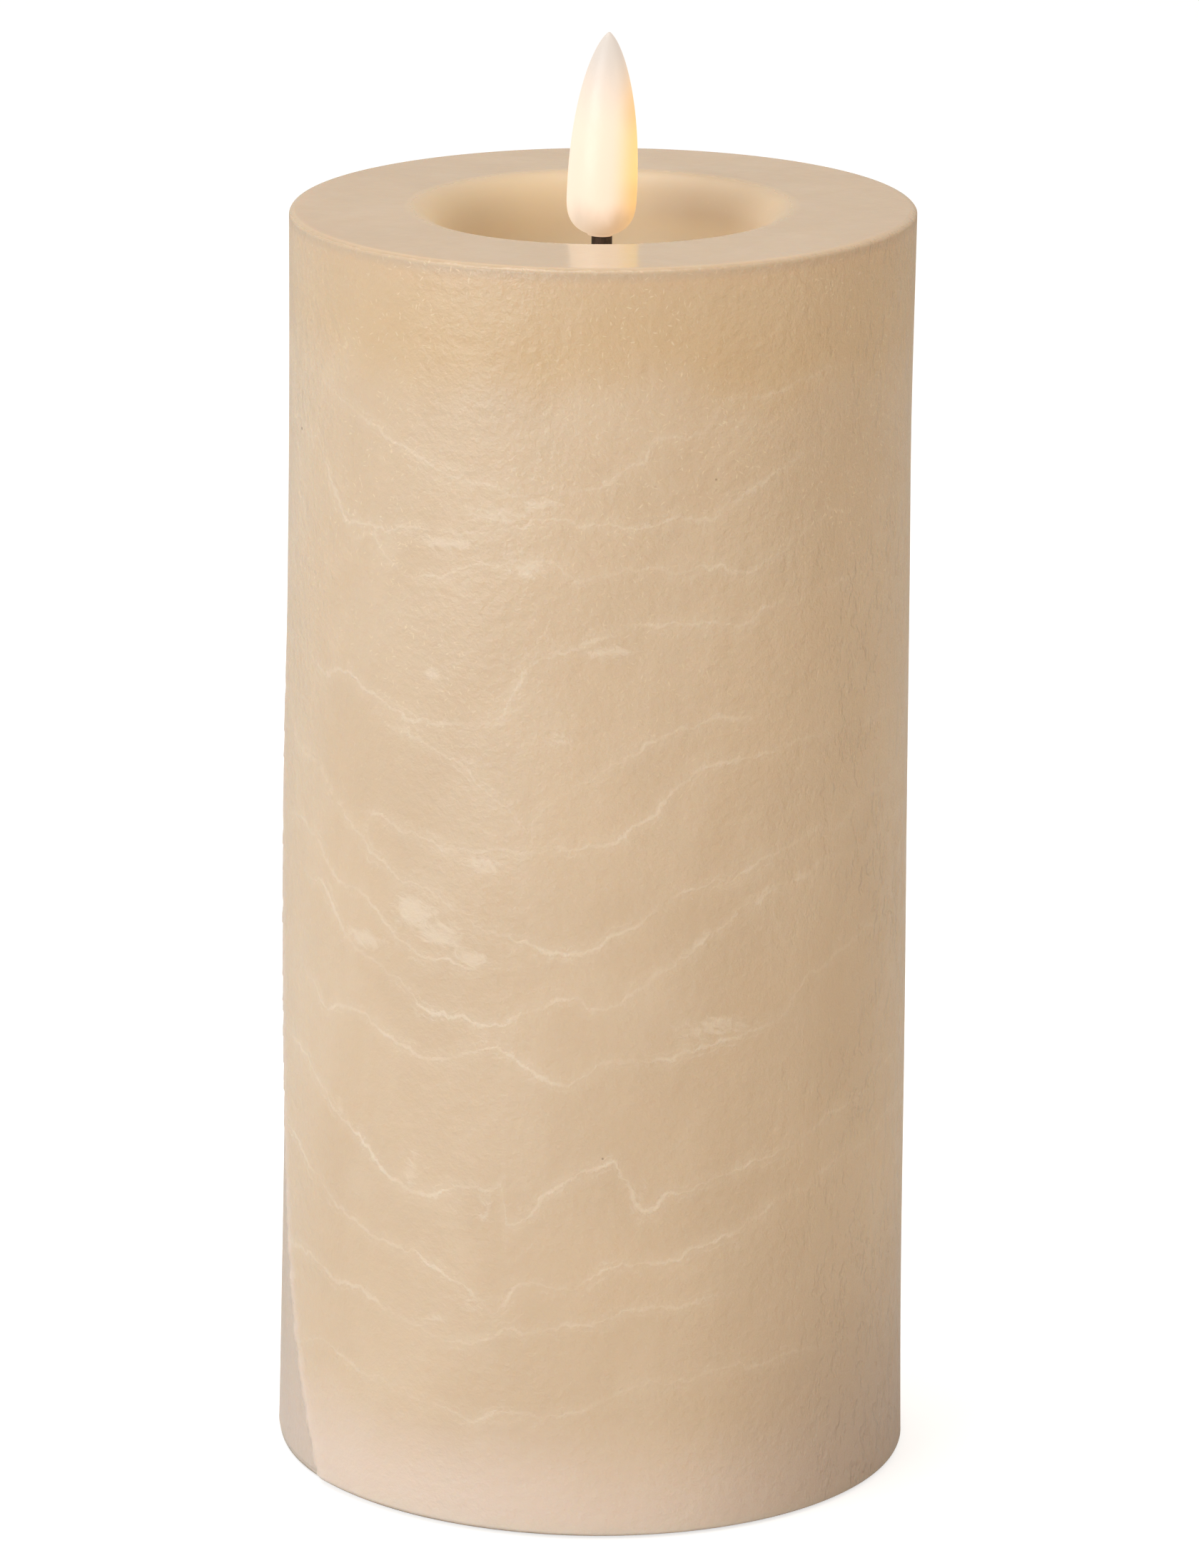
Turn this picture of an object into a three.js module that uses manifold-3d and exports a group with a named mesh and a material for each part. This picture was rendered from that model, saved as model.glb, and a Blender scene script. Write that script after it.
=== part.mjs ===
// A flameless pillar candle: a cast wax shell over a moulded core, with a glowing
// flame on a black wick in a shallow well, two upright cells behind a hinged door in
// the base, and a three-position slide switch beside the door.
//
// Millimetres, +Z up. The origin is the centre of the footprint, on the table.
// The switch side of the base faces -Y, and the door's hinge lies on the -X side.

import * as THREE from "three";
import { mergeVertices } from "three/addons/utils/BufferGeometryUtils.js";
import Module from "manifold-3d";

const wasm = await Module();
wasm.setup();

// ---- Driving dimensions -----------------------------------------------------

// Clearances
const FIXED_GAP = 0.3; // between pieces that are glued, clamped or pushed together
const SEAT_GAP = 0.1; // between flat faces that rest on each other
const RUNNING_GAP = 0.25; // round a piece that moves

// Wax shell
const BODY_HEIGHT = 150; // rim above the table
const BODY_RADIUS = 37.75; // at the foot
const BODY_TAPER = 1.6; // loss of radius from foot to rim, the mould's draft
const FOOT_EDGE_ROUND = 1.4;
const RIM_EDGE_ROUND = 0.9;
const WAX_WALL = 9.15; // between the core and the outside, at the rim
const WELL_RADIUS = 20.2;
const WELL_DEPTH = 12;
const WELL_FILLET = 6;
const WELL_LIP_ROUND = 1.6;
const WELL_FLOOR_THICKNESS = 3;
const WICK_HOLE_GAP = 0.5; // between the wick and the wax round it

// Core housing
const CORE_WALL = 1.6;
const CORE_ROOF = 2;
const CORE_SHOULDER = 1.5;
const WICK_BOSS_WALL = 2.15;
const WICK_BOSS_LENGTH = 4;

// Base plate and feet
const PLATE_THICKNESS = 3;
const PLATE_OVERHANG = 3; // how far the plate covers the wax round the core
const SPIGOT_WALL = 1.4;
const SPIGOT_HEIGHT = 4;
const COLLAR_WALL = 1.2;
const COLLAR_HEIGHT = 4;
const FOOT_RADIUS = 3.25;
const FOOT_PROUD = 0.8;
const FOOT_SINK = 0.8;
const FOOT_ANGLES = [40, 140, 220, 320];
const FOOT_EDGE = 0.8; // plate left outside each foot

// Base screws
const SCREW_RADIUS = 1.2;
const SCREW_LENGTH = 9;
const SCREW_HEAD_RADIUS = 2.5;
const SCREW_HEAD_HEIGHT = 1.4;
const SCREW_SINK = 0.4; // head below the plate's underside
const SCREW_BOSS_RADIUS = 2.9;
const SCREW_BOSS_HEIGHT = 12;
const SCREW_ANGLES = [90, 240, 300];

// Cells and their case
const CELL_RADIUS = 7.1;
const CELL_LENGTH = 50;
const CELL_NUB_RADIUS = 2.7;
const CELL_NUB_HEIGHT = 1.2;
const BAY_GAP = 0.3; // round a cell in its bay
const BAY_WEB = 1.2; // between the two bays
const CASE_WALL = 1.4;
const CASE_ROOF = 1.6;
const CONTACT_THICKNESS = 0.4;
const CONTACT_SIZE = 8;
const CONTACT_TAB_WIDTH = 2.4;
const SPRING_WIRE = 0.35; // wire radius
const SPRING_WIDE = 4.2;
const SPRING_NARROW = 2.6;
const SPRING_TURNS = 2.75;
const SPRING_HEIGHT = 3.9; // squeezed between cell and contact

// Battery door
const DOOR_THICKNESS = 1.8;
const DOOR_MARGIN = 1.3; // how far the door laps the ledge beside the bays
const DOOR_CORNER = 3;
const HINGE_BARREL_RADIUS = 1.4;
const HINGE_PIN_RADIUS = 0.7;
const HINGE_PIN_LENGTH = 1.5;
const LATCH_WIDTH = 8;
const LATCH_THICKNESS = 1;
const LATCH_HEIGHT = 3.2; // above the door's inner face
const LATCH_REACH = 3; // from the back of the loop to its front
const LATCH_NIB = 0.3;
const GRIP_COUNT = 4;
const GRIP_PITCH = 1.5;
const GRIP_WIDTH = 0.7;
const GRIP_DEPTH = 0.45;

// Slide switch
const SWITCH_TRAVEL = 4; // on, off and timer, 2 mm apart
const SLIDER_LENGTH = 3;
const SLIDER_DEPTH = 3.2;
const SLIDER_HEIGHT = 1.5;
const KNOB_LENGTH = 2.2;
const KNOB_DEPTH = 1.8;
const KNOB_SINK = 0.35; // below the plate's underside
const SWITCH_WALL = 0.4;
const SWITCH_HEIGHT = 4.2;
const SWITCH_BOARD = 0.8;
const FINGER_WELL_MARGIN = 2.4;
const FINGER_WELL_DEPTH = 1.3;
const SWITCH_RIB = 1.2; // plate left between the door and the finger well

// Circuit board and what stands on it
const BOARD_LENGTH = 34;
const BOARD_DEPTH = 17;
const BOARD_THICKNESS = 1.2;
const STANDOFF_RADIUS = 2.4;
const STANDOFF_HEIGHT = 2.4;
const BOARD_SCREW_RADIUS = 0.8;
const BOARD_SCREW_HEAD = 1.8;
const BOARD_SCREW_HEAD_HEIGHT = 1;
// Parts on the board, each with its place from the board's middle.
const CHIP = { length: 4.9, depth: 3.9, height: 1.5, y: -1 };
const CRYSTAL = { radius: 1.05, length: 6.2, fromEnd: 2, y: 5.8 };
const CAPACITOR = { radius: 2.5, height: 7, x: 8, y: 5 };
const RESISTOR = { radius: 0.9, length: 4.4, x: -13, y: -5.6 };

// Flame and wick
const FLAME_BASE_ABOVE_FLOOR = 8.65;
const FLAME_HEIGHT = 23.65;
const FLAME_RADIUS = 4.05;
const FLAME_BELLY = 5; // height of the widest point above the flame's base
const FLAME_LEVELS = [0.012, 0.05, 0.11, 0.21, 0.36, 0.5, 0.63, 0.75, 0.85, 0.93, 0.98];
const FLAME_WALL = 0.9;
const FLAME_TIP_WALL = 2.6;
const FLAME_LEAN = 2; // degrees, towards +X
const WICK_RADIUS = 1.2;
const WICK_BORE = 0.75;
const WICK_FLANGE_RADIUS = 3;
const WICK_FLANGE_HEIGHT = 1.2;
const WICK_IN_FLAME = 1.3;
const RETAINER_WALL = 1.2;
const RETAINER_LIP = 1;
const LED_RADIUS = 1.5;
const LED_HEIGHT = 4.4;
const LEAD_RADIUS = 0.2;
const LEAD_PITCH = 0.8;
const LEAD_TAIL = 4; // below the retainer
const WIRE_RADIUS = 0.55;

// ---- Levels and places that follow from them --------------------------------

const RIM_RADIUS = BODY_RADIUS - BODY_TAPER;
const CORE_RADIUS = RIM_RADIUS - WAX_WALL;
const UNDERSIDE = FOOT_PROUD; // of wax and plate
const PLATE_TOP = UNDERSIDE + PLATE_THICKNESS;
const PLATE_RADIUS = CORE_RADIUS + PLATE_OVERHANG;
const CORE_INNER = CORE_RADIUS - CORE_WALL;
const CORE_FOOT = PLATE_TOP + SEAT_GAP;
const WELL_FLOOR = BODY_HEIGHT - WELL_DEPTH;
const WAX_CEILING = WELL_FLOOR - WELL_FLOOR_THICKNESS;
const CORE_TOP = WAX_CEILING - FIXED_GAP;
const CORE_CEILING = CORE_TOP - CORE_ROOF;
const BOSS_FOOT = CORE_CEILING - WICK_BOSS_LENGTH;

const BAY_RADIUS = CELL_RADIUS + BAY_GAP;
const BAY_OFFSET = BAY_RADIUS + BAY_WEB / 2; // each cell's axis from the middle
const CASE_RADIUS = BAY_RADIUS + CASE_WALL;
const COLLAR_INNER = CASE_RADIUS + FIXED_GAP;
const COLLAR_OUTER = COLLAR_INNER + COLLAR_WALL;

const DOOR_TOP = UNDERSIDE + DOOR_THICKNESS;
const DOOR_HALF_WIDTH = BAY_RADIUS + DOOR_MARGIN;
const DOOR_END = BAY_OFFSET + COLLAR_OUTER + FIXED_GAP + LATCH_REACH;
const HINGE_X = -(BAY_OFFSET + COLLAR_OUTER + FIXED_GAP + HINGE_BARREL_RADIUS);
const HINGE_Z = UNDERSIDE + HINGE_BARREL_RADIUS;
const LEDGE_FOOT = DOOR_TOP + FIXED_GAP;

const DOOR_CONTACT_FOOT = DOOR_TOP + SEAT_GAP;
const DOOR_CONTACT_TOP = DOOR_CONTACT_FOOT + CONTACT_THICKNESS;
const LOW_CELL_FOOT = DOOR_CONTACT_TOP + SEAT_GAP; // the cell whose nub points down
const HIGH_CELL_FOOT = LOW_CELL_FOOT + SPRING_HEIGHT + SEAT_GAP; // the cell on the spring
const TOP_CONTACT_FOOT = HIGH_CELL_FOOT + CELL_LENGTH + SEAT_GAP;
const CASE_CEILING = TOP_CONTACT_FOOT + CONTACT_THICKNESS + SEAT_GAP;
const CASE_FOOT = PLATE_TOP + SEAT_GAP;
const CASE_TOP = CASE_CEILING + CASE_ROOF;
const BOARD_FOOT = CASE_TOP + STANDOFF_HEIGHT + SEAT_GAP;
const BOARD_TOP = BOARD_FOOT + BOARD_THICKNESS;
const STANDOFF_X = BAY_OFFSET + BAY_RADIUS / 2 + 1;

const CAN_INNER_LENGTH = SLIDER_LENGTH + SWITCH_TRAVEL + 2 * RUNNING_GAP;
const CAN_INNER_DEPTH = SLIDER_DEPTH + 2 * RUNNING_GAP;
const SWITCH_Y = -(DOOR_HALF_WIDTH + FIXED_GAP + SWITCH_RIB + KNOB_DEPTH / 2 + FINGER_WELL_MARGIN);
const SWITCH_FOOT = PLATE_TOP + SEAT_GAP;
const SLOT_LENGTH = KNOB_LENGTH + SWITCH_TRAVEL + 2 * RUNNING_GAP;
const SLOT_DEPTH = KNOB_DEPTH + 2 * RUNNING_GAP;

const WICK_BORE_IN_CORE = WICK_RADIUS + RUNNING_GAP;
const WICK_BOSS_RADIUS = WICK_BORE_IN_CORE + WICK_BOSS_WALL;
const FLAME_BASE = WELL_FLOOR + FLAME_BASE_ABOVE_FLOOR;
const WICK_TOP = FLAME_BASE + WICK_IN_FLAME;
const FLANGE_TOP = BOSS_FOOT - FIXED_GAP;
const FLANGE_FOOT = FLANGE_TOP - WICK_FLANGE_HEIGHT;
const RETAINER_FOOT = FLANGE_FOOT - FIXED_GAP - RETAINER_LIP;
const LEAD_FOOT = RETAINER_FOOT - LEAD_TAIL;

const SCREW_CIRCLE = CORE_INNER - SCREW_BOSS_RADIUS + CORE_WALL / 4;
const FOOT_CIRCLE = PLATE_RADIUS - FOOT_EDGE - FOOT_RADIUS;

// ---- Materials --------------------------------------------------------------

const paint = (color, roughness, metalness = 0) =>
  new THREE.MeshStandardMaterial({ color, roughness, metalness });

const WAX = paint(0xd4bb98, 0.45);
const FLAME = paint(0xfff0dc, 0.5);
const BLACK_PLASTIC = paint(0x1b1715, 0.5);
const IVORY_PLASTIC = paint(0xe9e2d3, 0.55);
const CASE_PLASTIC = paint(0xd9d5cc, 0.6);
const RUBBER = paint(0x2a2927, 0.9);
const STEEL = paint(0xb9bbbd, 0.35, 1);
const NICKEL = paint(0xc9c6bd, 0.3, 1);
const CELL_JACKET = paint(0x3d4b57, 0.4);
const BOARD_GREEN = paint(0x2f6b45, 0.5);
const PHENOLIC = paint(0x8a5a32, 0.7);
const LENS = paint(0xfff3cf, 0.2);
const RED_WIRE = paint(0xb3261e, 0.5);
const BLACK_WIRE = paint(0x201f1e, 0.5);

// ---- Shape helpers ----------------------------------------------------------

const radians = THREE.MathUtils.degToRad;
const point = (r, z) => new THREE.Vector2(r, z);

// Points of a round corner about (r, z), from one angle to the other in degrees.
function corner(r, z, radius, from, to, steps = 3) {
  const points = [];
  for (let i = 0; i <= steps; i++) {
    const a = radians(from + ((to - from) * i) / steps);
    points.push(point(r + radius * Math.cos(a), z + radius * Math.sin(a)));
  }
  return points;
}

// Turns a profile of (radius, height) points about +Z. An open profile starts and
// ends on the axis; any other is closed on itself.
function turned(profile, segments) {
  const onAxis = profile[0].x === 0 && profile[profile.length - 1].x === 0;
  const points = onAxis ? [...profile] : [...profile, profile[0].clone()];
  if (THREE.ShapeUtils.area(points) < 0) points.reverse();
  return new THREE.LatheGeometry(points, segments).rotateX(Math.PI / 2);
}

// Raises a flat outline from one height to another.
function raised(shape, foot, top, curveSegments = 10) {
  const options = { depth: top - foot, bevelEnabled: false, curveSegments };
  return new THREE.ExtrudeGeometry(shape, options).translate(0, 0, foot);
}

// A closed tube of a regular section along a curve.
function tube(curve, radius, steps, sides = 6) {
  const section = new THREE.Shape();
  for (let i = 0; i < sides; i++) {
    const a = (2 * Math.PI * i) / sides;
    if (i === 0) section.moveTo(radius, 0);
    else section.lineTo(radius * Math.cos(a), radius * Math.sin(a));
  }
  return new THREE.ExtrudeGeometry(section, { steps, extrudePath: curve });
}

function cylinder(radius, foot, top, segments = 20) {
  return new THREE.CylinderGeometry(radius, radius, top - foot, segments)
    .rotateX(Math.PI / 2)
    .translate(0, 0, (foot + top) / 2);
}

function block(x0, x1, y0, y1, z0, z1) {
  return new THREE.BoxGeometry(x1 - x0, y1 - y0, z1 - z0).translate(
    (x0 + x1) / 2,
    (y0 + y1) / 2,
    (z0 + z1) / 2,
  );
}

// Two half circles of one radius joined by straight sides, lying along X.
function stadium(halfSpan, radius) {
  const shape = new THREE.Shape();
  shape.absarc(halfSpan, 0, radius, -Math.PI / 2, Math.PI / 2, false);
  shape.absarc(-halfSpan, 0, radius, Math.PI / 2, (3 * Math.PI) / 2, false);
  shape.closePath();
  return shape;
}

// A rectangle whose two corners on the +X side are round.
function tongue(x0, x1, halfWidth, radius) {
  const shape = new THREE.Shape();
  shape.moveTo(x0, -halfWidth);
  shape.lineTo(x1 - radius, -halfWidth);
  shape.absarc(x1 - radius, -halfWidth + radius, radius, -Math.PI / 2, 0, false);
  shape.absarc(x1 - radius, halfWidth - radius, radius, 0, Math.PI / 2, false);
  shape.lineTo(x0, halfWidth);
  shape.closePath();
  return shape;
}

// A closed geometry as a solid that can be cut and joined.
function solid(geometry) {
  const bare = (geometry.index ? geometry.toNonIndexed() : geometry.clone())
    .deleteAttribute("normal")
    .deleteAttribute("uv");
  const merged = mergeVertices(bare, 1e-4);
  return new wasm.Manifold(
    new wasm.Mesh({
      numProp: 3,
      vertProperties: merged.attributes.position.array,
      triVerts: new Uint32Array(merged.index.array),
    }),
  );
}

// The surface of a cut or joined solid.
function surface(body) {
  const mesh = body.getMesh();
  const positions = new THREE.BufferAttribute(mesh.vertProperties, 3);
  const geometry = new THREE.BufferGeometry().setAttribute("position", positions);
  geometry.setIndex(new THREE.BufferAttribute(mesh.triVerts, 1));
  geometry.computeVertexNormals();
  return geometry;
}

function carve(base, added, removed) {
  const joined = added.reduce((body, g) => body.add(solid(g)), solid(base));
  return surface(removed.reduce((body, g) => body.subtract(solid(g)), joined));
}

const onCircle = (radius, degrees) => [
  radius * Math.cos(radians(degrees)),
  radius * Math.sin(radians(degrees)),
];

// ---- The assembly -----------------------------------------------------------

const candle = new THREE.Group();

function add(name, geometry, material, x = 0, y = 0, z = 0) {
  const mesh = new THREE.Mesh(geometry, material);
  mesh.name = name;
  mesh.position.set(x, y, z);
  candle.add(mesh);
  return mesh;
}

// ---- Wax shell --------------------------------------------------------------

function waxShell() {
  const bore = CORE_RADIUS + FIXED_GAP;
  const plateSeat = PLATE_RADIUS + FIXED_GAP;
  const wickHole = WICK_RADIUS + WICK_HOLE_GAP;
  return turned(
    [
      point(plateSeat, UNDERSIDE),
      ...corner(BODY_RADIUS - FOOT_EDGE_ROUND, UNDERSIDE + FOOT_EDGE_ROUND, FOOT_EDGE_ROUND, -90, 0),
      ...corner(RIM_RADIUS - RIM_EDGE_ROUND, BODY_HEIGHT - RIM_EDGE_ROUND, RIM_EDGE_ROUND, 0, 90),
      ...corner(WELL_RADIUS + WELL_LIP_ROUND, BODY_HEIGHT - WELL_LIP_ROUND, WELL_LIP_ROUND, 90, 180),
      ...corner(WELL_RADIUS - WELL_FILLET, WELL_FLOOR + WELL_FILLET, WELL_FILLET, 0, -90, 5),
      point(wickHole, WELL_FLOOR),
      point(wickHole, WAX_CEILING),
      point(bore, WAX_CEILING),
      point(bore, PLATE_TOP + FIXED_GAP),
      point(plateSeat, PLATE_TOP + FIXED_GAP),
    ],
    48,
  );
}

// ---- Core housing -----------------------------------------------------------

function coreHousing() {
  const bore = WICK_BORE_IN_CORE;
  const shell = turned(
    [
      point(CORE_RADIUS, CORE_FOOT),
      point(CORE_RADIUS, CORE_TOP - CORE_SHOULDER),
      point(CORE_RADIUS - CORE_SHOULDER, CORE_TOP),
      point(bore, CORE_TOP),
      point(bore, BOSS_FOOT),
      point(WICK_BOSS_RADIUS, BOSS_FOOT),
      point(WICK_BOSS_RADIUS, CORE_CEILING),
      point(CORE_INNER - CORE_SHOULDER, CORE_CEILING),
      point(CORE_INNER, CORE_CEILING - CORE_SHOULDER),
      point(CORE_INNER, CORE_FOOT),
    ],
    40,
  );
  const bosses = [];
  const pilots = [];
  for (const angle of SCREW_ANGLES) {
    const [x, y] = onCircle(SCREW_CIRCLE, angle);
    const top = CORE_FOOT + SCREW_BOSS_HEIGHT;
    bosses.push(cylinder(SCREW_BOSS_RADIUS, CORE_FOOT, top).translate(x, y, 0));
    const pilot = cylinder(SCREW_RADIUS + FIXED_GAP, CORE_FOOT - 1, top - 1.5, 16);
    pilots.push(pilot.translate(x, y, 0));
  }
  return carve(shell, bosses, pilots);
}

// ---- Base plate -------------------------------------------------------------

// A rod on the hinge's axis, centred on the middle of the door.
function hingeRod(radius, halfLength) {
  return new THREE.CylinderGeometry(radius, radius, 2 * halfLength, 20).translate(HINGE_X, 0, HINGE_Z);
}

// What the door, its barrel, its pins and its latch need out of the plate.
function doorCuts() {
  const low = UNDERSIDE - 1;
  const wide = DOOR_HALF_WIDTH + FIXED_GAP;
  const barrel = HINGE_BARREL_RADIUS + FIXED_GAP;
  const pinReach = DOOR_HALF_WIDTH + HINGE_PIN_LENGTH + FIXED_GAP;
  const tray = tongue(HINGE_X - barrel, DOOR_END + FIXED_GAP, wide, DOOR_CORNER + FIXED_GAP);
  const latch = LATCH_WIDTH / 2 + FIXED_GAP;
  const latchBack = DOOR_END - LATCH_REACH - FIXED_GAP;
  return [
    raised(tray, low, LEDGE_FOOT, 6),
    raised(stadium(BAY_OFFSET, BAY_RADIUS), low, PLATE_TOP + 1),
    block(HINGE_X - barrel, HINGE_X + barrel, -wide, wide, low, PLATE_TOP + 1),
    hingeRod(HINGE_PIN_RADIUS + RUNNING_GAP, pinReach),
    block(latchBack, DOOR_END + 2 * FIXED_GAP, -latch, latch, low, PLATE_TOP + SPIGOT_HEIGHT + 1),
  ];
}

function basePlate() {
  const disc = turned(
    [
      point(0, UNDERSIDE),
      point(PLATE_RADIUS - 0.4, UNDERSIDE),
      point(PLATE_RADIUS, UNDERSIDE + 0.4),
      point(PLATE_RADIUS, PLATE_TOP),
      point(0, PLATE_TOP),
    ],
    40,
  );
  const sunk = PLATE_TOP - 0.5; // the raised walls start inside the disc
  const spigotOuter = CORE_INNER - FIXED_GAP;
  const spigot = turned(
    [
      point(spigotOuter - SPIGOT_WALL, sunk),
      point(spigotOuter, sunk),
      point(spigotOuter, PLATE_TOP + SPIGOT_HEIGHT),
      point(spigotOuter - SPIGOT_WALL, PLATE_TOP + SPIGOT_HEIGHT),
    ],
    40,
  );
  const ring = stadium(BAY_OFFSET, COLLAR_OUTER);
  ring.holes.push(stadium(BAY_OFFSET, COLLAR_INNER));
  const collar = raised(ring, sunk, PLATE_TOP + COLLAR_HEIGHT);

  const cuts = doorCuts();
  for (const angle of SCREW_ANGLES) {
    const [x, y] = onCircle(SCREW_CIRCLE, angle);
    const notch = SCREW_BOSS_RADIUS + FIXED_GAP;
    const sink = SCREW_SINK + SCREW_HEAD_HEIGHT + SEAT_GAP;
    const head = SCREW_HEAD_RADIUS + FIXED_GAP;
    cuts.push(cylinder(notch, PLATE_TOP, PLATE_TOP + SPIGOT_HEIGHT + 1).translate(x, y, 0));
    cuts.push(cylinder(SCREW_RADIUS + FIXED_GAP, UNDERSIDE - 1, PLATE_TOP + 1, 16).translate(x, y, 0));
    cuts.push(cylinder(head, UNDERSIDE - 1, UNDERSIDE + sink).translate(x, y, 0));
  }
  for (const angle of FOOT_ANGLES) {
    const [x, y] = onCircle(FOOT_CIRCLE, angle);
    const pocket = cylinder(FOOT_RADIUS + SEAT_GAP, UNDERSIDE - 1, UNDERSIDE + FOOT_SINK + SEAT_GAP);
    cuts.push(pocket.translate(x, y, 0));
  }
  const slot = SLOT_LENGTH / 2;
  const wellX = slot + FINGER_WELL_MARGIN;
  const wellY = KNOB_DEPTH / 2 + FINGER_WELL_MARGIN;
  const wellRoof = UNDERSIDE + FINGER_WELL_DEPTH;
  cuts.push(
    block(-slot, slot, SWITCH_Y - SLOT_DEPTH / 2, SWITCH_Y + SLOT_DEPTH / 2, UNDERSIDE, PLATE_TOP + 1),
    raised(stadium(wellX - wellY, wellY), UNDERSIDE - 1, wellRoof).translate(0, SWITCH_Y, 0),
  );
  return carve(disc, [spigot, collar], cuts);
}

function screw(radius, length, headRadius, headHeight, crossSize) {
  const tip = radius * 1.2;
  const body = turned(
    [
      point(0, 0),
      point(headRadius - 0.4, 0),
      point(headRadius, 0.4),
      point(headRadius, headHeight),
      point(radius, headHeight),
      point(radius, headHeight + length - tip),
      point(0, headHeight + length),
    ],
    16,
  );
  const arm = crossSize / 2;
  const bar = crossSize / 8;
  const depth = headHeight * 0.6;
  return carve(
    body,
    [],
    [block(-arm, arm, -bar, bar, -1, depth), block(-bar, bar, -arm, arm, -1, depth)],
  );
}

function foot() {
  return turned(
    [
      point(0, 0),
      point(FOOT_RADIUS - 0.4, 0),
      point(FOOT_RADIUS, 0.4),
      point(FOOT_RADIUS, FOOT_PROUD + FOOT_SINK),
      point(0, FOOT_PROUD + FOOT_SINK),
    ],
    20,
  );
}

// ---- Battery door -----------------------------------------------------------

function batteryDoor() {
  const panel = raised(tongue(HINGE_X, DOOR_END, DOOR_HALF_WIDTH, DOOR_CORNER), UNDERSIDE, DOOR_TOP, 6);
  const latchTop = DOOR_TOP + LATCH_HEIGHT;
  const half = LATCH_WIDTH / 2;
  const back = DOOR_END - LATCH_REACH;
  const front = DOOR_END - LATCH_THICKNESS;
  const nibFoot = PLATE_TOP + SEAT_GAP;
  const parts = [
    hingeRod(HINGE_BARREL_RADIUS, DOOR_HALF_WIDTH),
    hingeRod(HINGE_PIN_RADIUS, DOOR_HALF_WIDTH + HINGE_PIN_LENGTH),
    block(back, back + LATCH_THICKNESS, -half, half, DOOR_TOP - 0.5, latchTop),
    block(back, DOOR_END, -half, half, latchTop - LATCH_THICKNESS, latchTop),
    block(front, DOOR_END, -half, half, DOOR_TOP + 0.4, latchTop),
    block(front, DOOR_END + LATCH_NIB, -half, half, nibFoot, nibFoot + LATCH_THICKNESS / 2),
  ];
  const grips = [];
  for (let i = 0; i < GRIP_COUNT; i++) {
    const x = DOOR_END - 4.5 - i * GRIP_PITCH;
    grips.push(block(x - GRIP_WIDTH, x, -half, half, UNDERSIDE - 1, UNDERSIDE + GRIP_DEPTH));
  }
  return carve(panel, parts, grips);
}

const bridgeContact = () =>
  raised(stadium(BAY_OFFSET, BAY_RADIUS - 1.2), DOOR_CONTACT_FOOT, DOOR_CONTACT_TOP, 8);

// A cone of wire, wide at the contact and narrow at the cell, standing on z = 0.
class ConeCoil extends THREE.Curve {
  getPoint(t, target = new THREE.Vector3()) {
    const r = SPRING_WIDE + (SPRING_NARROW - SPRING_WIDE) * t;
    const a = 2 * Math.PI * SPRING_TURNS * t;
    const rise = SPRING_HEIGHT - 2 * SPRING_WIRE - 0.2;
    return target.set(r * Math.cos(a), r * Math.sin(a), SPRING_WIRE + 0.1 + rise * t);
  }
}

const coneSpring = () => tube(new ConeCoil(), SPRING_WIRE, 40, 5);

// ---- Cells, case and contacts -----------------------------------------------

function cell() {
  const shoulder = CELL_LENGTH - CELL_NUB_HEIGHT;
  return turned(
    [
      point(0, 0),
      point(CELL_RADIUS - 0.8, 0),
      point(CELL_RADIUS, 0.8),
      point(CELL_RADIUS, shoulder - 0.6),
      point(CELL_RADIUS - 0.6, shoulder),
      point(CELL_NUB_RADIUS, shoulder),
      point(CELL_NUB_RADIUS, CELL_LENGTH - 0.3),
      point(CELL_NUB_RADIUS - 0.3, CELL_LENGTH),
      point(0, CELL_LENGTH),
    ],
    24,
  );
}

// Where the solder tab of a top contact stands, beside the middle web.
const tabX = (side) => side * (BAY_OFFSET - CONTACT_SIZE / 2 + CONTACT_THICKNESS / 2);

function tabBox(side, grow, foot, top) {
  const x = tabX(side);
  const half = CONTACT_TAB_WIDTH / 2 + grow;
  const thin = CONTACT_THICKNESS / 2 + grow;
  return block(x - thin, x + thin, -half, half, foot, top);
}

function batteryCase() {
  const outer = raised(stadium(BAY_OFFSET, CASE_RADIUS), CASE_FOOT, CASE_TOP);
  const posts = [];
  const cuts = [];
  for (const side of [-1, 1]) {
    const post = cylinder(STANDOFF_RADIUS, CASE_TOP - 0.5, CASE_TOP + STANDOFF_HEIGHT);
    posts.push(post.translate(side * STANDOFF_X, 0, 0));
    const pilot = cylinder(BOARD_SCREW_RADIUS + SEAT_GAP, CASE_TOP - 0.4, CASE_TOP + 9, 12);
    cuts.push(
      cylinder(BAY_RADIUS, CASE_FOOT - 1, CASE_CEILING, 32).translate(side * BAY_OFFSET, 0, 0),
      pilot.translate(side * STANDOFF_X, 0, 0),
      tabBox(side, FIXED_GAP, CASE_CEILING - 1, CASE_TOP + 1),
    );
  }
  return carve(outer, posts, cuts);
}

// A square leaf under the case's roof, with a tab up through the circuit board.
function topContact(side) {
  const half = CONTACT_SIZE / 2;
  const x = side * BAY_OFFSET;
  const top = TOP_CONTACT_FOOT + CONTACT_THICKNESS;
  const leaf = block(x - half, x + half, -half, half, TOP_CONTACT_FOOT, top);
  return carve(leaf, [tabBox(side, 0, TOP_CONTACT_FOOT + 0.1, BOARD_TOP + 0.8)], []);
}

// ---- Circuit board ----------------------------------------------------------

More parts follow.
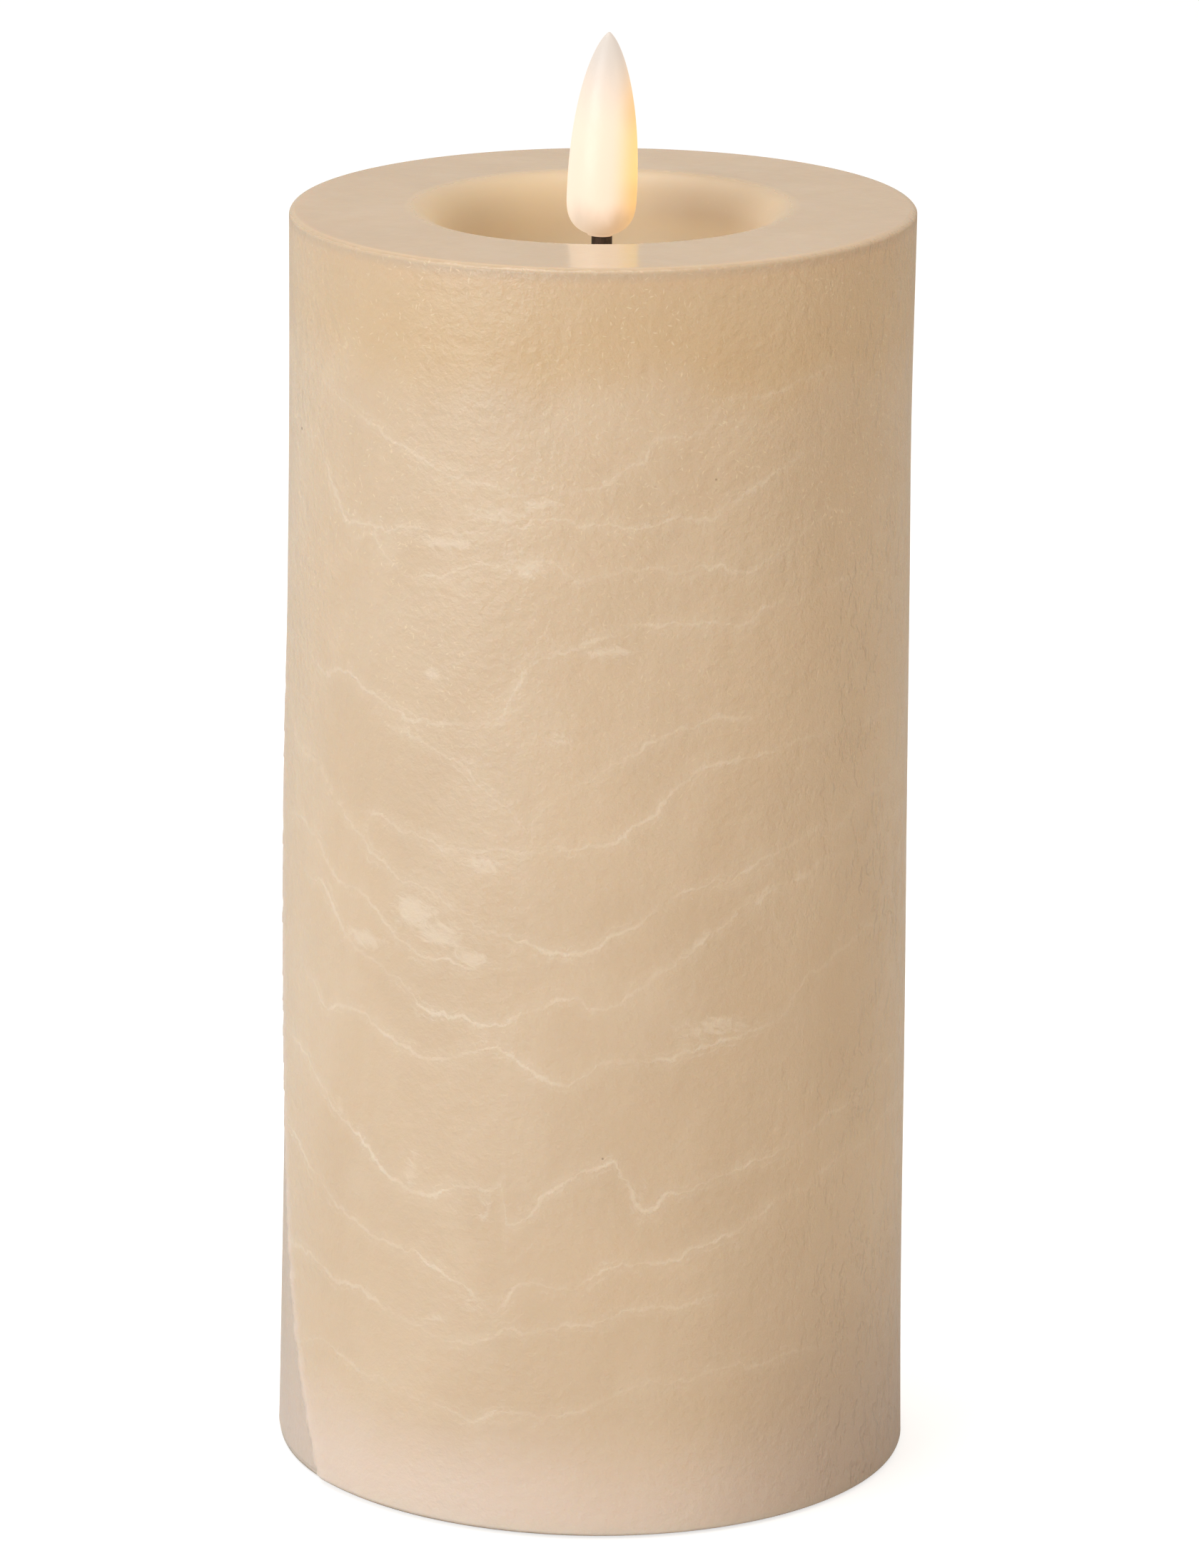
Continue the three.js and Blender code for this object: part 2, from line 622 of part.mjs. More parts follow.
function circuitBoard() {
  const x = BOARD_LENGTH / 2;
  const y = BOARD_DEPTH / 2;
  const board = block(-x, x, -y, y, BOARD_FOOT, BOARD_TOP);
  const cuts = [];
  for (const side of [-1, 1]) {
    const hole = cylinder(BOARD_SCREW_RADIUS + FIXED_GAP, BOARD_FOOT - 1, BOARD_TOP + 1, 12);
    const slot = tabBox(side, FIXED_GAP, BOARD_FOOT - 1, BOARD_TOP + 1);
    cuts.push(hole.translate(side * STANDOFF_X, 0, 0), slot);
  }
  return carve(board, [], cuts);
}

// ---- Slide switch -----------------------------------------------------------

function switchCase() {
  const x = CAN_INNER_LENGTH / 2;
  const y = CAN_INNER_DEPTH / 2;
  const top = SWITCH_FOOT + SWITCH_HEIGHT;
  const w = SWITCH_WALL;
  return carve(
    block(-x - w, x + w, -y - w, y + w, SWITCH_FOOT, top),
    [],
    [
      block(-x, x, -y, y, SWITCH_FOOT + w, top + 1),
      block(-SLOT_LENGTH / 2, SLOT_LENGTH / 2, -SLOT_DEPTH / 2, SLOT_DEPTH / 2, SWITCH_FOOT - 1, top),
    ],
  ).translate(0, SWITCH_Y, 0);
}

function switchBoard() {
  const x = CAN_INNER_LENGTH / 2 - SEAT_GAP;
  const y = CAN_INNER_DEPTH / 2 - SEAT_GAP;
  const top = SWITCH_FOOT + SWITCH_HEIGHT;
  return block(-x, x, -y, y, top - SWITCH_BOARD, top);
}

function switchSlider() {
  const foot = SWITCH_FOOT + SWITCH_WALL + RUNNING_GAP;
  const inside = block(
    -SLIDER_LENGTH / 2,
    SLIDER_LENGTH / 2,
    -SLIDER_DEPTH / 2,
    SLIDER_DEPTH / 2,
    foot,
    foot + SLIDER_HEIGHT,
  );
  const knob = block(
    -KNOB_LENGTH / 2,
    KNOB_LENGTH / 2,
    -KNOB_DEPTH / 2,
    KNOB_DEPTH / 2,
    UNDERSIDE + KNOB_SINK,
    foot + 0.5,
  );
  return carve(inside, [knob], []);
}

// ---- Flame, wick and lamp ---------------------------------------------------

// The flame's radius at a height above its base: a full round foot up to the belly,
// then an ogive that closes at the tip.
function flameRadius(height) {
  if (height < FLAME_BELLY) {
    const u = 1 - height / FLAME_BELLY;
    return FLAME_RADIUS * Math.pow(1 - Math.pow(u, 3.2), 1 / 2.2);
  }
  const u = (height - FLAME_BELLY) / (FLAME_HEIGHT - FLAME_BELLY);
  return FLAME_RADIUS * Math.pow(1 - Math.pow(u, 2.2), 0.68);
}

function flameDiffuser() {
  const hole = WICK_RADIUS + RUNNING_GAP;
  const heights = FLAME_LEVELS.map((level) => level * FLAME_HEIGHT);
  const outside = heights.map((h) => point(flameRadius(h), h));
  const roof = FLAME_HEIGHT - FLAME_TIP_WALL;
  const inside = heights
    .filter((h) => h > 2 * FLAME_WALL && h < roof - 1 && flameRadius(h) > hole + FLAME_WALL)
    .map((h) => point(flameRadius(h) - FLAME_WALL, h));
  return turned(
    [
      point(0, FLAME_HEIGHT),
      ...outside.reverse(),
      point(hole, 0),
      point(hole, FLAME_WALL),
      ...inside,
      point(0, roof),
    ],
    24,
  );
}

function wickStem() {
  return turned(
    [
      point(WICK_BORE, FLANGE_FOOT),
      point(WICK_FLANGE_RADIUS, FLANGE_FOOT),
      point(WICK_FLANGE_RADIUS, FLANGE_TOP),
      point(WICK_RADIUS, FLANGE_TOP),
      point(WICK_RADIUS, WICK_TOP),
      point(WICK_BORE, WICK_TOP),
    ],
    16,
  );
}

function wickRetainer() {
  const inner = WICK_BOSS_RADIUS + SEAT_GAP;
  return turned(
    [
      point(WICK_BORE + 0.4, RETAINER_FOOT),
      point(inner + RETAINER_WALL, RETAINER_FOOT),
      point(inner + RETAINER_WALL, BOSS_FOOT + WICK_BOSS_LENGTH / 2),
      point(inner, BOSS_FOOT + WICK_BOSS_LENGTH / 2),
      point(inner, RETAINER_FOOT + RETAINER_LIP),
      point(WICK_BORE + 0.4, RETAINER_FOOT + RETAINER_LIP),
    ],
    20,
  );
}

function lamp() {
  const foot = WICK_TOP + SEAT_GAP;
  const dome = LED_HEIGHT - LED_RADIUS;
  return turned(
    [
      point(0, foot),
      point(LED_RADIUS + 0.2, foot),
      point(LED_RADIUS + 0.2, foot + 0.8),
      ...corner(0, foot + dome, LED_RADIUS, 0, 90, 5).slice(0, -1),
      point(0, foot + LED_HEIGHT),
    ],
    16,
  );
}

// ---- Wires ------------------------------------------------------------------

const route = (points) => new THREE.CatmullRomCurve3(points.map((p) => new THREE.Vector3(...p)));

// From the circuit board up to the tail of a lead under the wick.
function lampWire(side) {
  const foot = BOARD_TOP + SEAT_GAP;
  const top = LEAD_FOOT - FIXED_GAP;
  const rise = top - foot;
  return route([
    [side * 3, 5.5, foot],
    [side * 3, 5.5, foot + 4],
    [side * 5.5, 4, foot + rise * 0.3],
    [side * 4, -1.5, foot + rise * 0.55],
    [side * 3.5, 1, foot + rise * 0.8],
    [side * 1.4, 0, top - 4],
    [side * (WIRE_RADIUS + 0.2), 0, top],
  ]);
}

// From the switch up the front of the case and over the board's edge.
function switchWire(side) {
  const foot = SWITCH_FOOT + SWITCH_HEIGHT + SEAT_GAP;
  const out = -(BOARD_DEPTH / 2 + 3.4);
  return route([
    [side * 1.8, SWITCH_Y, foot],
    [side * 1.8, SWITCH_Y, foot + 3],
    [side * 3, out, foot + 10],
    [side * 3.4, out, (foot + BOARD_FOOT) / 2],
    [side * 4, out, BOARD_FOOT - 4],
    [side * 4, out + 0.4, BOARD_TOP + 2],
    [side * 4, -BOARD_DEPTH / 2 + 0.4, BOARD_TOP + 3.6],
    [side * 4, -BOARD_DEPTH / 2 + 2.6, BOARD_TOP + 2.2],
    [side * 4, -BOARD_DEPTH / 2 + 2.8, BOARD_TOP + SEAT_GAP],
  ]);
}

// ---- Build ------------------------------------------------------------------

add("wax_shell", waxShell(), WAX);
add("core_housing", coreHousing(), IVORY_PLASTIC);
add("base_plate", basePlate(), BLACK_PLASTIC);

SCREW_ANGLES.forEach((angle, i) => {
  const shape = screw(SCREW_RADIUS, SCREW_LENGTH, SCREW_HEAD_RADIUS, SCREW_HEAD_HEIGHT, 3);
  add(`base_screw_${i + 1}`, shape, STEEL, ...onCircle(SCREW_CIRCLE, angle), UNDERSIDE + SCREW_SINK);
});
FOOT_ANGLES.forEach((angle, i) => {
  add(`rubber_foot_${i + 1}`, foot(), RUBBER, ...onCircle(FOOT_CIRCLE, angle), 0);
});

add("battery_door", batteryDoor(), BLACK_PLASTIC);
add("door_contact", bridgeContact(), NICKEL);
add("door_spring", coneSpring(), NICKEL, -BAY_OFFSET, 0, DOOR_CONTACT_TOP);

add("battery_case", batteryCase(), CASE_PLASTIC);
add("cell_nub_up", cell(), CELL_JACKET, -BAY_OFFSET, 0, HIGH_CELL_FOOT);
add("cell_nub_down", cell(), CELL_JACKET, BAY_OFFSET, 0, LOW_CELL_FOOT + CELL_LENGTH).rotation.x = Math.PI;
add("contact_positive", topContact(-1), NICKEL);
add("contact_negative", topContact(1), NICKEL);
add("case_spring", coneSpring(), NICKEL, BAY_OFFSET, 0, TOP_CONTACT_FOOT).rotation.x = Math.PI;

add("circuit_board", circuitBoard(), BOARD_GREEN);
for (const [i, side] of [-1, 1].entries()) {
  const shape = screw(BOARD_SCREW_RADIUS, 4, BOARD_SCREW_HEAD, BOARD_SCREW_HEAD_HEIGHT, 2);
  const top = BOARD_TOP + SEAT_GAP + BOARD_SCREW_HEAD_HEIGHT;
  add(`board_screw_${i + 1}`, shape, STEEL, side * STANDOFF_X, 0, top).rotation.x = Math.PI;
}
const chip = new THREE.BoxGeometry(CHIP.length, CHIP.depth, CHIP.height);
const crystal = cylinder(CRYSTAL.radius, 0, CRYSTAL.length, 16).rotateY(Math.PI / 2);
const crystalX = -BOARD_LENGTH / 2 + CRYSTAL.fromEnd;
const capacitor = cylinder(CAPACITOR.radius, 0, CAPACITOR.height, 20);
const resistor = cylinder(RESISTOR.radius, 0, RESISTOR.length, 14).rotateY(Math.PI / 2);
const seat = BOARD_TOP + SEAT_GAP;
add("controller_chip", chip, BLACK_PLASTIC, 0, CHIP.y, seat + CHIP.height / 2);
add("timer_crystal", crystal, STEEL, crystalX, CRYSTAL.y, seat + CRYSTAL.radius);
add("filter_capacitor", capacitor, BLACK_PLASTIC, CAPACITOR.x, CAPACITOR.y, seat);
add("lamp_resistor", resistor, IVORY_PLASTIC, RESISTOR.x, RESISTOR.y, seat + RESISTOR.radius);

add("switch_case", switchCase(), STEEL);
add("switch_board", switchBoard(), PHENOLIC, 0, SWITCH_Y, 0);
add("switch_slider", switchSlider(), BLACK_PLASTIC, -SWITCH_TRAVEL / 2, SWITCH_Y, 0);

add("flame_diffuser", flameDiffuser(), FLAME, 0, 0, FLAME_BASE).rotation.y = radians(FLAME_LEAN);
add("wick_stem", wickStem(), BLACK_PLASTIC);
add("wick_retainer", wickRetainer(), IVORY_PLASTIC);
add("lamp_led", lamp(), LENS);
add("lead_positive", cylinder(LEAD_RADIUS, LEAD_FOOT, WICK_TOP, 8), STEEL, -LEAD_PITCH / 2);
add("lead_negative", cylinder(LEAD_RADIUS, LEAD_FOOT, WICK_TOP, 8), STEEL, LEAD_PITCH / 2);

add("lamp_wire_red", tube(lampWire(-1), WIRE_RADIUS, 24), RED_WIRE);
add("lamp_wire_black", tube(lampWire(1), WIRE_RADIUS, 24), BLACK_WIRE);
add("switch_wire_1", tube(switchWire(-1), WIRE_RADIUS, 30), BLACK_WIRE);
add("switch_wire_2", tube(switchWire(1), WIRE_RADIUS, 30), RED_WIRE);

export default candle;
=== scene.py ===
"""The looks of a flameless pillar candle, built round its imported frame.

The wax body, the glowing flame, the wick and the small turned parts are new surfaces worked
out with numpy. Moulded parts are softened copies of their frame nodes. Lengths are metres,
angles are degrees unless a property says otherwise, +Z is up and -Y is the front.
"""

import math

import bmesh
import bpy
import numpy as np
from bpy.props import FloatProperty, FloatVectorProperty, IntProperty, PointerProperty
from mathutils import Matrix, Vector


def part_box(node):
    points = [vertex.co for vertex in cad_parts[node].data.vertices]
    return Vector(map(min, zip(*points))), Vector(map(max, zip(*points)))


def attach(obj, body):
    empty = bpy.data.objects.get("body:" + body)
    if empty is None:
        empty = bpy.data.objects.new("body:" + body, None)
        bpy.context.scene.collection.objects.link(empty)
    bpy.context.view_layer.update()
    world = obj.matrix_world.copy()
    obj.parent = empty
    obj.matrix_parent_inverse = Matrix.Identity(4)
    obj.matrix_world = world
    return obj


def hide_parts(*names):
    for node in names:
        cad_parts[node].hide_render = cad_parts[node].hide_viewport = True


bl_info = {
    "name": "Flameless pillar candle",
    "version": (1, 0, 0),
    "blender": (4, 5, 0),
    "location": "3D View > Sidebar > Candle",
    "description": "Builds a wax pillar candle with a lamp flame round its frame",
    "category": "Add Mesh",
}

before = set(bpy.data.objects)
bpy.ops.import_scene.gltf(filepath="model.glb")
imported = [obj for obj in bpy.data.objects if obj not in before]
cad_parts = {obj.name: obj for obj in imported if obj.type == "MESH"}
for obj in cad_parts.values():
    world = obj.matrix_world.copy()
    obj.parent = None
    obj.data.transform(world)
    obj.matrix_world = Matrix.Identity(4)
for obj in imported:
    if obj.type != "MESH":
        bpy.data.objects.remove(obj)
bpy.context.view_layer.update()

MM = 0.001
PER_MM = 1000.0
FIXED_GAP = 0.3 * MM


# ---- Settings -------------------------------------------------------------------


def length(label, about, default):
    """A property that holds a length in metres."""
    return FloatProperty(name=label, description=about, default=default, unit="LENGTH", precision=5)


def tint(label, about, default):
    """A property that holds a colour."""
    return FloatVectorProperty(
        name=label, description=about, default=default, subtype="COLOR", min=0.0, max=1.0
    )


class CandleWaxSettings(bpy.types.PropertyGroup):
    """Shape and colour of the wax body."""

    rim_round: length("Rim round", "Radius of the rim's outer edge", 0.7 * MM)
    foot_round: length("Foot round", "Radius of the lower edge", 0.6 * MM)
    well_radius: length("Well radius", "Where the rim turns down into the well", 22.6 * MM)
    well_depth: length("Well depth", "Rim to the floor of the well", 12 * MM)
    well_throat: length("Well throat", "Radius of the well half-way down", 18.0 * MM)
    foot_level: length("Foot level", "Height of the wax's lower edge", 0.3 * MM)
    lap_height: length("Lap height", "How far the lap in the wax stands up at the foot", 0.42 * MM)
    rim_flare: length("Rim flare", "How far the rim swells out towards +X", 0.36 * MM)
    rim_tilt: FloatProperty(
        name="Rim tilt",
        description="How far the rim rises towards +X",
        default=math.radians(0.6),
        subtype="ANGLE",
    )
    foot_tilt: FloatProperty(
        name="Foot tilt",
        description="How far the lower edge drops towards +X",
        default=math.radians(0.39),
        subtype="ANGLE",
    )
    core_top: length("Core top", "Height where the wax stops being backed by the core", 136.5 * MM)
    vein_width: length("Vein width", "Half the width of a white vein", 0.25 * MM)
    # Painted light: this colour pales the wax along its lower edge as light bounced from the floor,
    # and paints the highlight on the lap's edge.
    foot: tint("Foot", "Colour of the paler wax along the lower edge", (0.80, 0.65, 0.555))
    wax: tint("Wax", "Colour of the wax", (0.665, 0.50, 0.345))
    amber: tint("Amber", "Colour where light passes through the wax", (0.64, 0.43, 0.22))
    # Painted glow: the well's colours are lighter than the wax, a painted glow of the lamp and of
    # light through the wax, palest at the floor.
    well: tint("Well", "Colour of the wax at the top of the well", (0.76, 0.60, 0.39))
    well_floor_glow: tint("Well floor", "Colour of the wax deep in the well", (0.78, 0.65, 0.47))
    # Painted shade on the well's +X side.
    well_side_shade: tint("Well side", "Colour of the well's thicker +X side", (0.60, 0.46, 0.32))
    chalk: tint("Chalk", "Colour of the white veins", (0.86, 0.74, 0.60))
    # Painted shade on the pressed facet beside the lap.
    shade: tint("Shade", "Colour of the pressed facet beside the lap", (0.60, 0.49, 0.41))
    # Painted shade darkens the rim's rounded edge.
    rim_edge_shade: tint("Rim edge", "Colour of the rim's rounded edge", (0.53, 0.42, 0.31))
    # Painted shade low on the +X side.
    low_side_shade: tint("Low side", "Colour low on the +X side", (0.47, 0.36, 0.29))
    scratch: tint("Scratch", "Colour of the fine scratches", (0.90, 0.76, 0.55))
    speck: tint("Speck", "Colour of the few dark specks", (0.10, 0.06, 0.04))


class CandleFlameSettings(bpy.types.PropertyGroup):
    """Shape and glow of the flame and its wick."""

    belly: FloatProperty(
        name="Belly",
        description="Height of the widest point, as a share of the flame",
        default=0.21,
        subtype="FACTOR",
    )
    lean: FloatProperty(
        name="Lean",
        description="How far the flame leans towards +X",
        default=math.radians(2.0),
        subtype="ANGLE",
    )
    shift: length("Shift", "How far the flame's foot sits towards -X of the wick", 0.22 * MM)
    wall: length("Wall", "Thickness of the flame's skin", 0.9 * MM)
    glow: FloatProperty(name="Glow", description="Strength of the flame's light", default=1.0)
    core: tint("Core", "Colour where the flame is brightest", (0.78, 0.585, 0.435))
    tip: tint("Tip", "Colour of the dim tip", (0.46, 0.40, 0.36))
    edge: tint("Edge", "Colour of the warm edge", (0.78, 0.42, 0.10))
    spot: tint("Spot", "Colour of the warm edge beside the lamp", (0.80, 0.53, 0.14))
    pale_edge: tint("Pale edge", "Colour of the -X edge", (0.74, 0.62, 0.50))
    foot_left: tint("Foot, -X side", "Colour of the foot on its pale side", (0.48, 0.375, 0.28))
    foot_right: tint("Foot, +X side", "Colour of the foot on its warm side", (0.40, 0.21, 0.086))
    skin: tint("Skin", "Colour of the flame's moulding when it is off", (0.34, 0.31, 0.28))


class CandleBaseSettings(bpy.types.PropertyGroup):
    """Moulded, rubber and metal parts of the base and the works."""

    edge_round: length("Edge round", "Radius of a moulding's edges", 0.18 * MM)
    plastic: tint("Plastic", "Colour of the base mouldings", (0.024, 0.021, 0.019))
    ivory: tint("Ivory", "Colour of the core's mouldings", (0.72, 0.66, 0.54))
    rubber: tint("Rubber", "Colour of the feet", (0.030, 0.029, 0.027))
    foot_rings: IntProperty(name="Foot rings", description="Grooves under each foot", default=3)
    sleeve: tint("Sleeve", "Colour of the cells' sleeves", (0.035, 0.06, 0.10))
    case: tint("Case", "Colour of the battery case", (0.60, 0.57, 0.50))


class CandleStageSettings(bpy.types.PropertyGroup):
    """Camera, lights and floor."""

    lens: FloatProperty(name="Lens", description="Focal length", default=171.1, unit="CAMERA")
    distance: length("Distance", "From the camera to its target", 880.1 * MM)
    target_height: length("Target height", "Height the camera looks at", 80.57 * MM)
    target_side: length("Target side", "How far to +X the camera looks", 0.45 * MM)
    elevation: FloatProperty(
        name="Elevation",
        description="Camera above the horizon",
        default=math.radians(15.68),
        subtype="ANGLE",
    )
    roll: FloatProperty(
        name="Roll",
        description="Camera turned about its line of sight",
        default=math.radians(0.651),
        subtype="ANGLE",
    )
    ambient: FloatProperty(name="Ambient", description="Strength of the light all round", default=0.52)
    key: FloatProperty(name="Key", description="Power of the left softbox in watts", default=5.7)
    fill: FloatProperty(name="Fill", description="Power of the right softbox in watts", default=2.0)
    top: FloatProperty(name="Top", description="Power of the overhead softbox in watts", default=2.6)


def settings():
    """The candle's settings in the open scene."""
    return bpy.context.scene.candle


# ---- Surfaces -------------------------------------------------------------------


def arc(r, z, radius, start, end, count):
    """Points (r, z) + radius (cos a, sin a) for equal steps of a from start to end."""
    a = np.radians(np.linspace(start, end, count))
    return np.stack([r + radius * np.cos(a), z + radius * np.sin(a)], axis=1)


def stretch(r0, z0, r1, z1, count):
    """Points on the straight line from one (r, z) to the other, ends included."""
    return np.stack([np.linspace(r0, r1, count), np.linspace(z0, z1, count)], axis=1)


def revolve(profile, columns):
    """Carries a profile (r, z) round +Z: x = r sin a, y = -r cos a, with a from -180 degrees."""
    a = np.linspace(-math.pi, math.pi, columns, endpoint=False)
    r, z = profile[:, :1], profile[:, 1:]
    return np.stack([r * np.sin(a), -r * np.cos(a), z + 0 * a], axis=2)


def sweep(path, radius, sides):
    """Carries a circle along a path of points, in the frame of each tangent and +Z."""
    tangent = np.gradient(path, axis=0)
    tangent /= np.linalg.norm(tangent, axis=1)[:, None]
    across = np.cross(tangent, (0.0, 0.0, 1.0))
    across /= np.linalg.norm(across, axis=1)[:, None]
    over = np.cross(across, tangent)
    a = np.linspace(0, 2 * math.pi, sides, endpoint=False)[None, :, None]
    ring = np.cos(a) * across[:, None] + np.sin(a) * over[:, None]
    return path[:, None] + radius * ring


def smooth_step(value, low, high):
    """0 below low, 1 above high, and 3t^2 - 2t^3 between."""
    t = np.clip((value - low) / (high - low), 0, 1)
    return t * t * (3 - 2 * t)


def wander(turn, seed, waves, fall=0.9):
    """A periodic random line: a sum of sines of the turn, each 1 / cycles^fall high.

    Their cycles a turn are spread evenly, as ratios, from the first of waves to the second.
    """
    rng = np.random.default_rng(seed)
    cycles = np.unique(np.round(np.geomspace(waves[0], waves[1], 26)).astype(int))
    phase = rng.uniform(0, 2 * math.pi, len(cycles))
    weight = (waves[0] / cycles) ** fall * rng.uniform(0.5, 1.0, len(cycles))
    return (weight * np.sin(turn[..., None] * cycles + phase)).sum(-1) / weight.sum() * 2


def grid_mesh(name, grid, closed=False):
    """A mesh of rows by columns of points, whose columns wrap round.

    A closed grid's rows wrap as well. An open one is closed by a point at the middle of its
    first and of its last row. Faces are turned outwards by the sign of the volume inside.
    """
    rows, columns = grid.shape[:2]
    points = grid.reshape(-1, 3)
    index = np.arange(rows * columns).reshape(rows, columns)
    if closed:
        index = np.vstack([index, index[:1]])
    right = np.roll(index, -1, axis=1)
    quads = np.stack([index[:-1], right[:-1], right[1:], index[1:]], axis=2).reshape(-1, 4)
    faces = quads.tolist()
    if not closed:
        points = np.vstack([points, grid[0].mean(0), grid[-1].mean(0)])
        first, last = rows * columns, rows * columns + 1
        start = np.stack([np.full(columns, first), right[0], index[0]], axis=1)
        end = np.stack([np.full(columns, last), index[-1], right[-1]], axis=1)
        faces += start.tolist() + end.tolist()
    a, b, c, d = (points[quads[:, k]] for k in range(4))
    volume = np.einsum("ij,ij->", a, np.cross(b, c)) + np.einsum("ij,ij->", a, np.cross(c, d))
    if volume < 0:
        faces = [face[::-1] for face in faces]
    mesh = bpy.data.meshes.new(name)
    mesh.from_pydata(points.tolist(), [], faces)
    mesh.polygons.foreach_set("use_smooth", np.ones(len(mesh.polygons), bool))
    mesh.set_sharp_from_angle(angle=math.radians(40))
    return mesh


def piece(name, mesh, body, materials, replaced=()):
    """Puts a mesh in the scene as a piece that moves with a body."""
    thing = bpy.data.objects.new(name, mesh)
    bpy.context.scene.collection.objects.link(thing)
    for material in materials:
        mesh.materials.append(material)
    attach(thing, body)
    if replaced:
        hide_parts(*replaced)
    return thing


def centre_of(node):
    """Middle of a node's box in x and y, its lowest and highest z, and its half width."""
    low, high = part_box(node)
    middle = (low + high) / 2
    return np.array([middle.x, middle.y, 0.0]), low.z, high.z, (high.x - low.x) / 2


# ---- Node helpers ---------------------------------------------------------------


def put(tree, kind, values=None, **options):
    """A node with its options and inputs set, each input by a value or from a socket."""
    node = tree.nodes.new(kind)
    for key, value in options.items():
        setattr(node, key, value)
    for key, value in (values or {}).items():
        if isinstance(value, bpy.types.NodeSocket):
            tree.links.new(value, node.inputs[key])
        else:
            node.inputs[key].default_value = value
    return node


def calc(tree, operation, *operands, clamp=False):
    """The result of a Math node."""
    values = dict(enumerate(operands))
    return put(tree, "ShaderNodeMath", values, operation=operation, use_clamp=clamp).outputs[0]


def times(tree, product, *factors):
    """The product of values or sockets."""
    for factor in factors:
        product = calc(tree, "MULTIPLY", product, factor)
    return product


def ease(tree, value, low, high, start=0.0, end=1.0):
    """Smooth step of a value between two limits, from start to end."""
    values = {"Value": value, "From Min": low, "From Max": high, "To Min": start, "To Max": end}
    return put(tree, "ShaderNodeMapRange", values, interpolation_type="SMOOTHSTEP").outputs[0]


def share_between(tree, value, low, high):
    """A value as a share of the way from low to high."""
    return calc(tree, "DIVIDE", calc(tree, "SUBTRACT", value, low), high - low)


def opaque(colour):
    """A colour with full alpha."""
    return (*colour, 1.0)


def mix(tree, share, first, second):
    """The first colour at a share of 0, the second at 1."""
    values = {0: share, 6: first, 7: second}
    return put(tree, "ShaderNodeMix", values, data_type="RGBA").outputs[2]


def tinted(tree, colour, towards, *masks):
    """A colour turned towards another by the product of the masks."""
    return mix(tree, times(tree, *masks), colour, opaque(towards))


def axes(tree, vector):
    """The x, y and z of a vector."""
    return put(tree, "ShaderNodeSeparateXYZ", {0: vector}).outputs


def scaled_noise(tree, vector, scale, detail=2.0, roughness=0.5, distortion=0.0):
    """Noise from 0 to 1, with so many waves a metre."""
    values = {"Vector": vector, "Scale": scale, "Detail": detail}
    values |= {"Roughness": roughness, "Distortion": distortion}
    return put(tree, "ShaderNodeTexNoise", values).outputs[0]


def noise(tree, vector, fineness, *look):
    """Noise from 0 to 1, with so many waves a millimetre."""
    return scaled_noise(tree, vector, fineness * PER_MM, *look)


def swing(tree, vector, fineness, *look):
    """Noise from -0.5 to 0.5."""
    return calc(tree, "SUBTRACT", noise(tree, vector, fineness, *look), 0.5)


def stretched(tree, vector, stretch, turn=(0, 0, 0), shift=(0, 0, 0)):
    """Coordinates whose pattern is stretched along each axis, then turned and shifted."""
    values = {"Vector": vector, "Scale": stretch, "Location": shift}
    values["Rotation"] = tuple(math.radians(a) for a in turn)
    return put(tree, "ShaderNodeMapping", values, vector_type="TEXTURE").outputs[0]


def wobbled(tree, vector, scale, amount):
    """Coordinates pushed about by a noise, by a share of the pattern's size."""
    values = {"Vector": vector, "Scale": times(tree, scale, 0.35), "Detail": 1.0}
    push = put(tree, "ShaderNodeTexNoise", values).outputs["Color"]
    values = {0: push, 1: (0.5, 0.5, 0.5)}
    push = put(tree, "ShaderNodeVectorMath", values, operation="SUBTRACT").outputs[0]
    values = {0: push, "Scale": calc(tree, "DIVIDE", amount * 2, scale)}
    push = put(tree, "ShaderNodeVectorMath", values, operation="SCALE").outputs[0]
    return put(tree, "ShaderNodeVectorMath", {0: vector, 1: push}, operation="ADD").outputs[0]


def spots(tree, vector, scale):
    """Distance to the nearest random point, and that point's random value."""
    node = put(tree, "ShaderNodeTexVoronoi", {"Vector": vector, "Scale": scale})
    pick = put(tree, "ShaderNodeSeparateColor", {0: node.outputs["Color"]}).outputs[0]
    return node.outputs["Distance"], pick


def attribute(tree, name):
    """The value of a mesh's attribute at the shaded point."""
    return put(tree, "ShaderNodeAttribute", attribute_name=name).outputs["Fac"]


def group(name, inputs, output, build):
    """A node group made once. build(tree, inputs by name) returns the socket to put out."""
    tree = bpy.data.node_groups.get(name)
    if tree:
        return tree
    tree = bpy.data.node_groups.new(name, "ShaderNodeTree")
    for label, kind, value in inputs:
        socket = tree.interface.new_socket(name=label, in_out="INPUT", socket_type=kind)
        if value is not None:
            socket.default_value = value
    tree.interface.new_socket(name=output[0], in_out="OUTPUT", socket_type=output[1])
    way_in = tree.nodes.new("NodeGroupInput")
    way_out = tree.nodes.new("NodeGroupOutput")
    tree.links.new(build(tree, way_in.outputs), way_out.inputs[0])
    return tree


def set_inputs(tree, node, values):
    """Links or sets a node's inputs, whose names have their spaces as underscores."""
    for key, value in values.items():
        socket = node.inputs[key.replace("_", " ")]
        if isinstance(value, bpy.types.NodeSocket):
            tree.links.new(value, socket)
        else:
            socket.default_value = value


def use(tree, made, **values):
    """Places a group in a material."""
    node = tree.nodes.new("ShaderNodeGroup")
    node.node_tree = made
    set_inputs(tree, node, values)
    return node.outputs[0]


def feed(tree, shader, **values):
    """Links or sets the shader's inputs."""
    set_inputs(tree, shader, values)


VECTOR, FLOAT, COLOUR = "NodeSocketVector", "NodeSocketFloat", "NodeSocketColor"


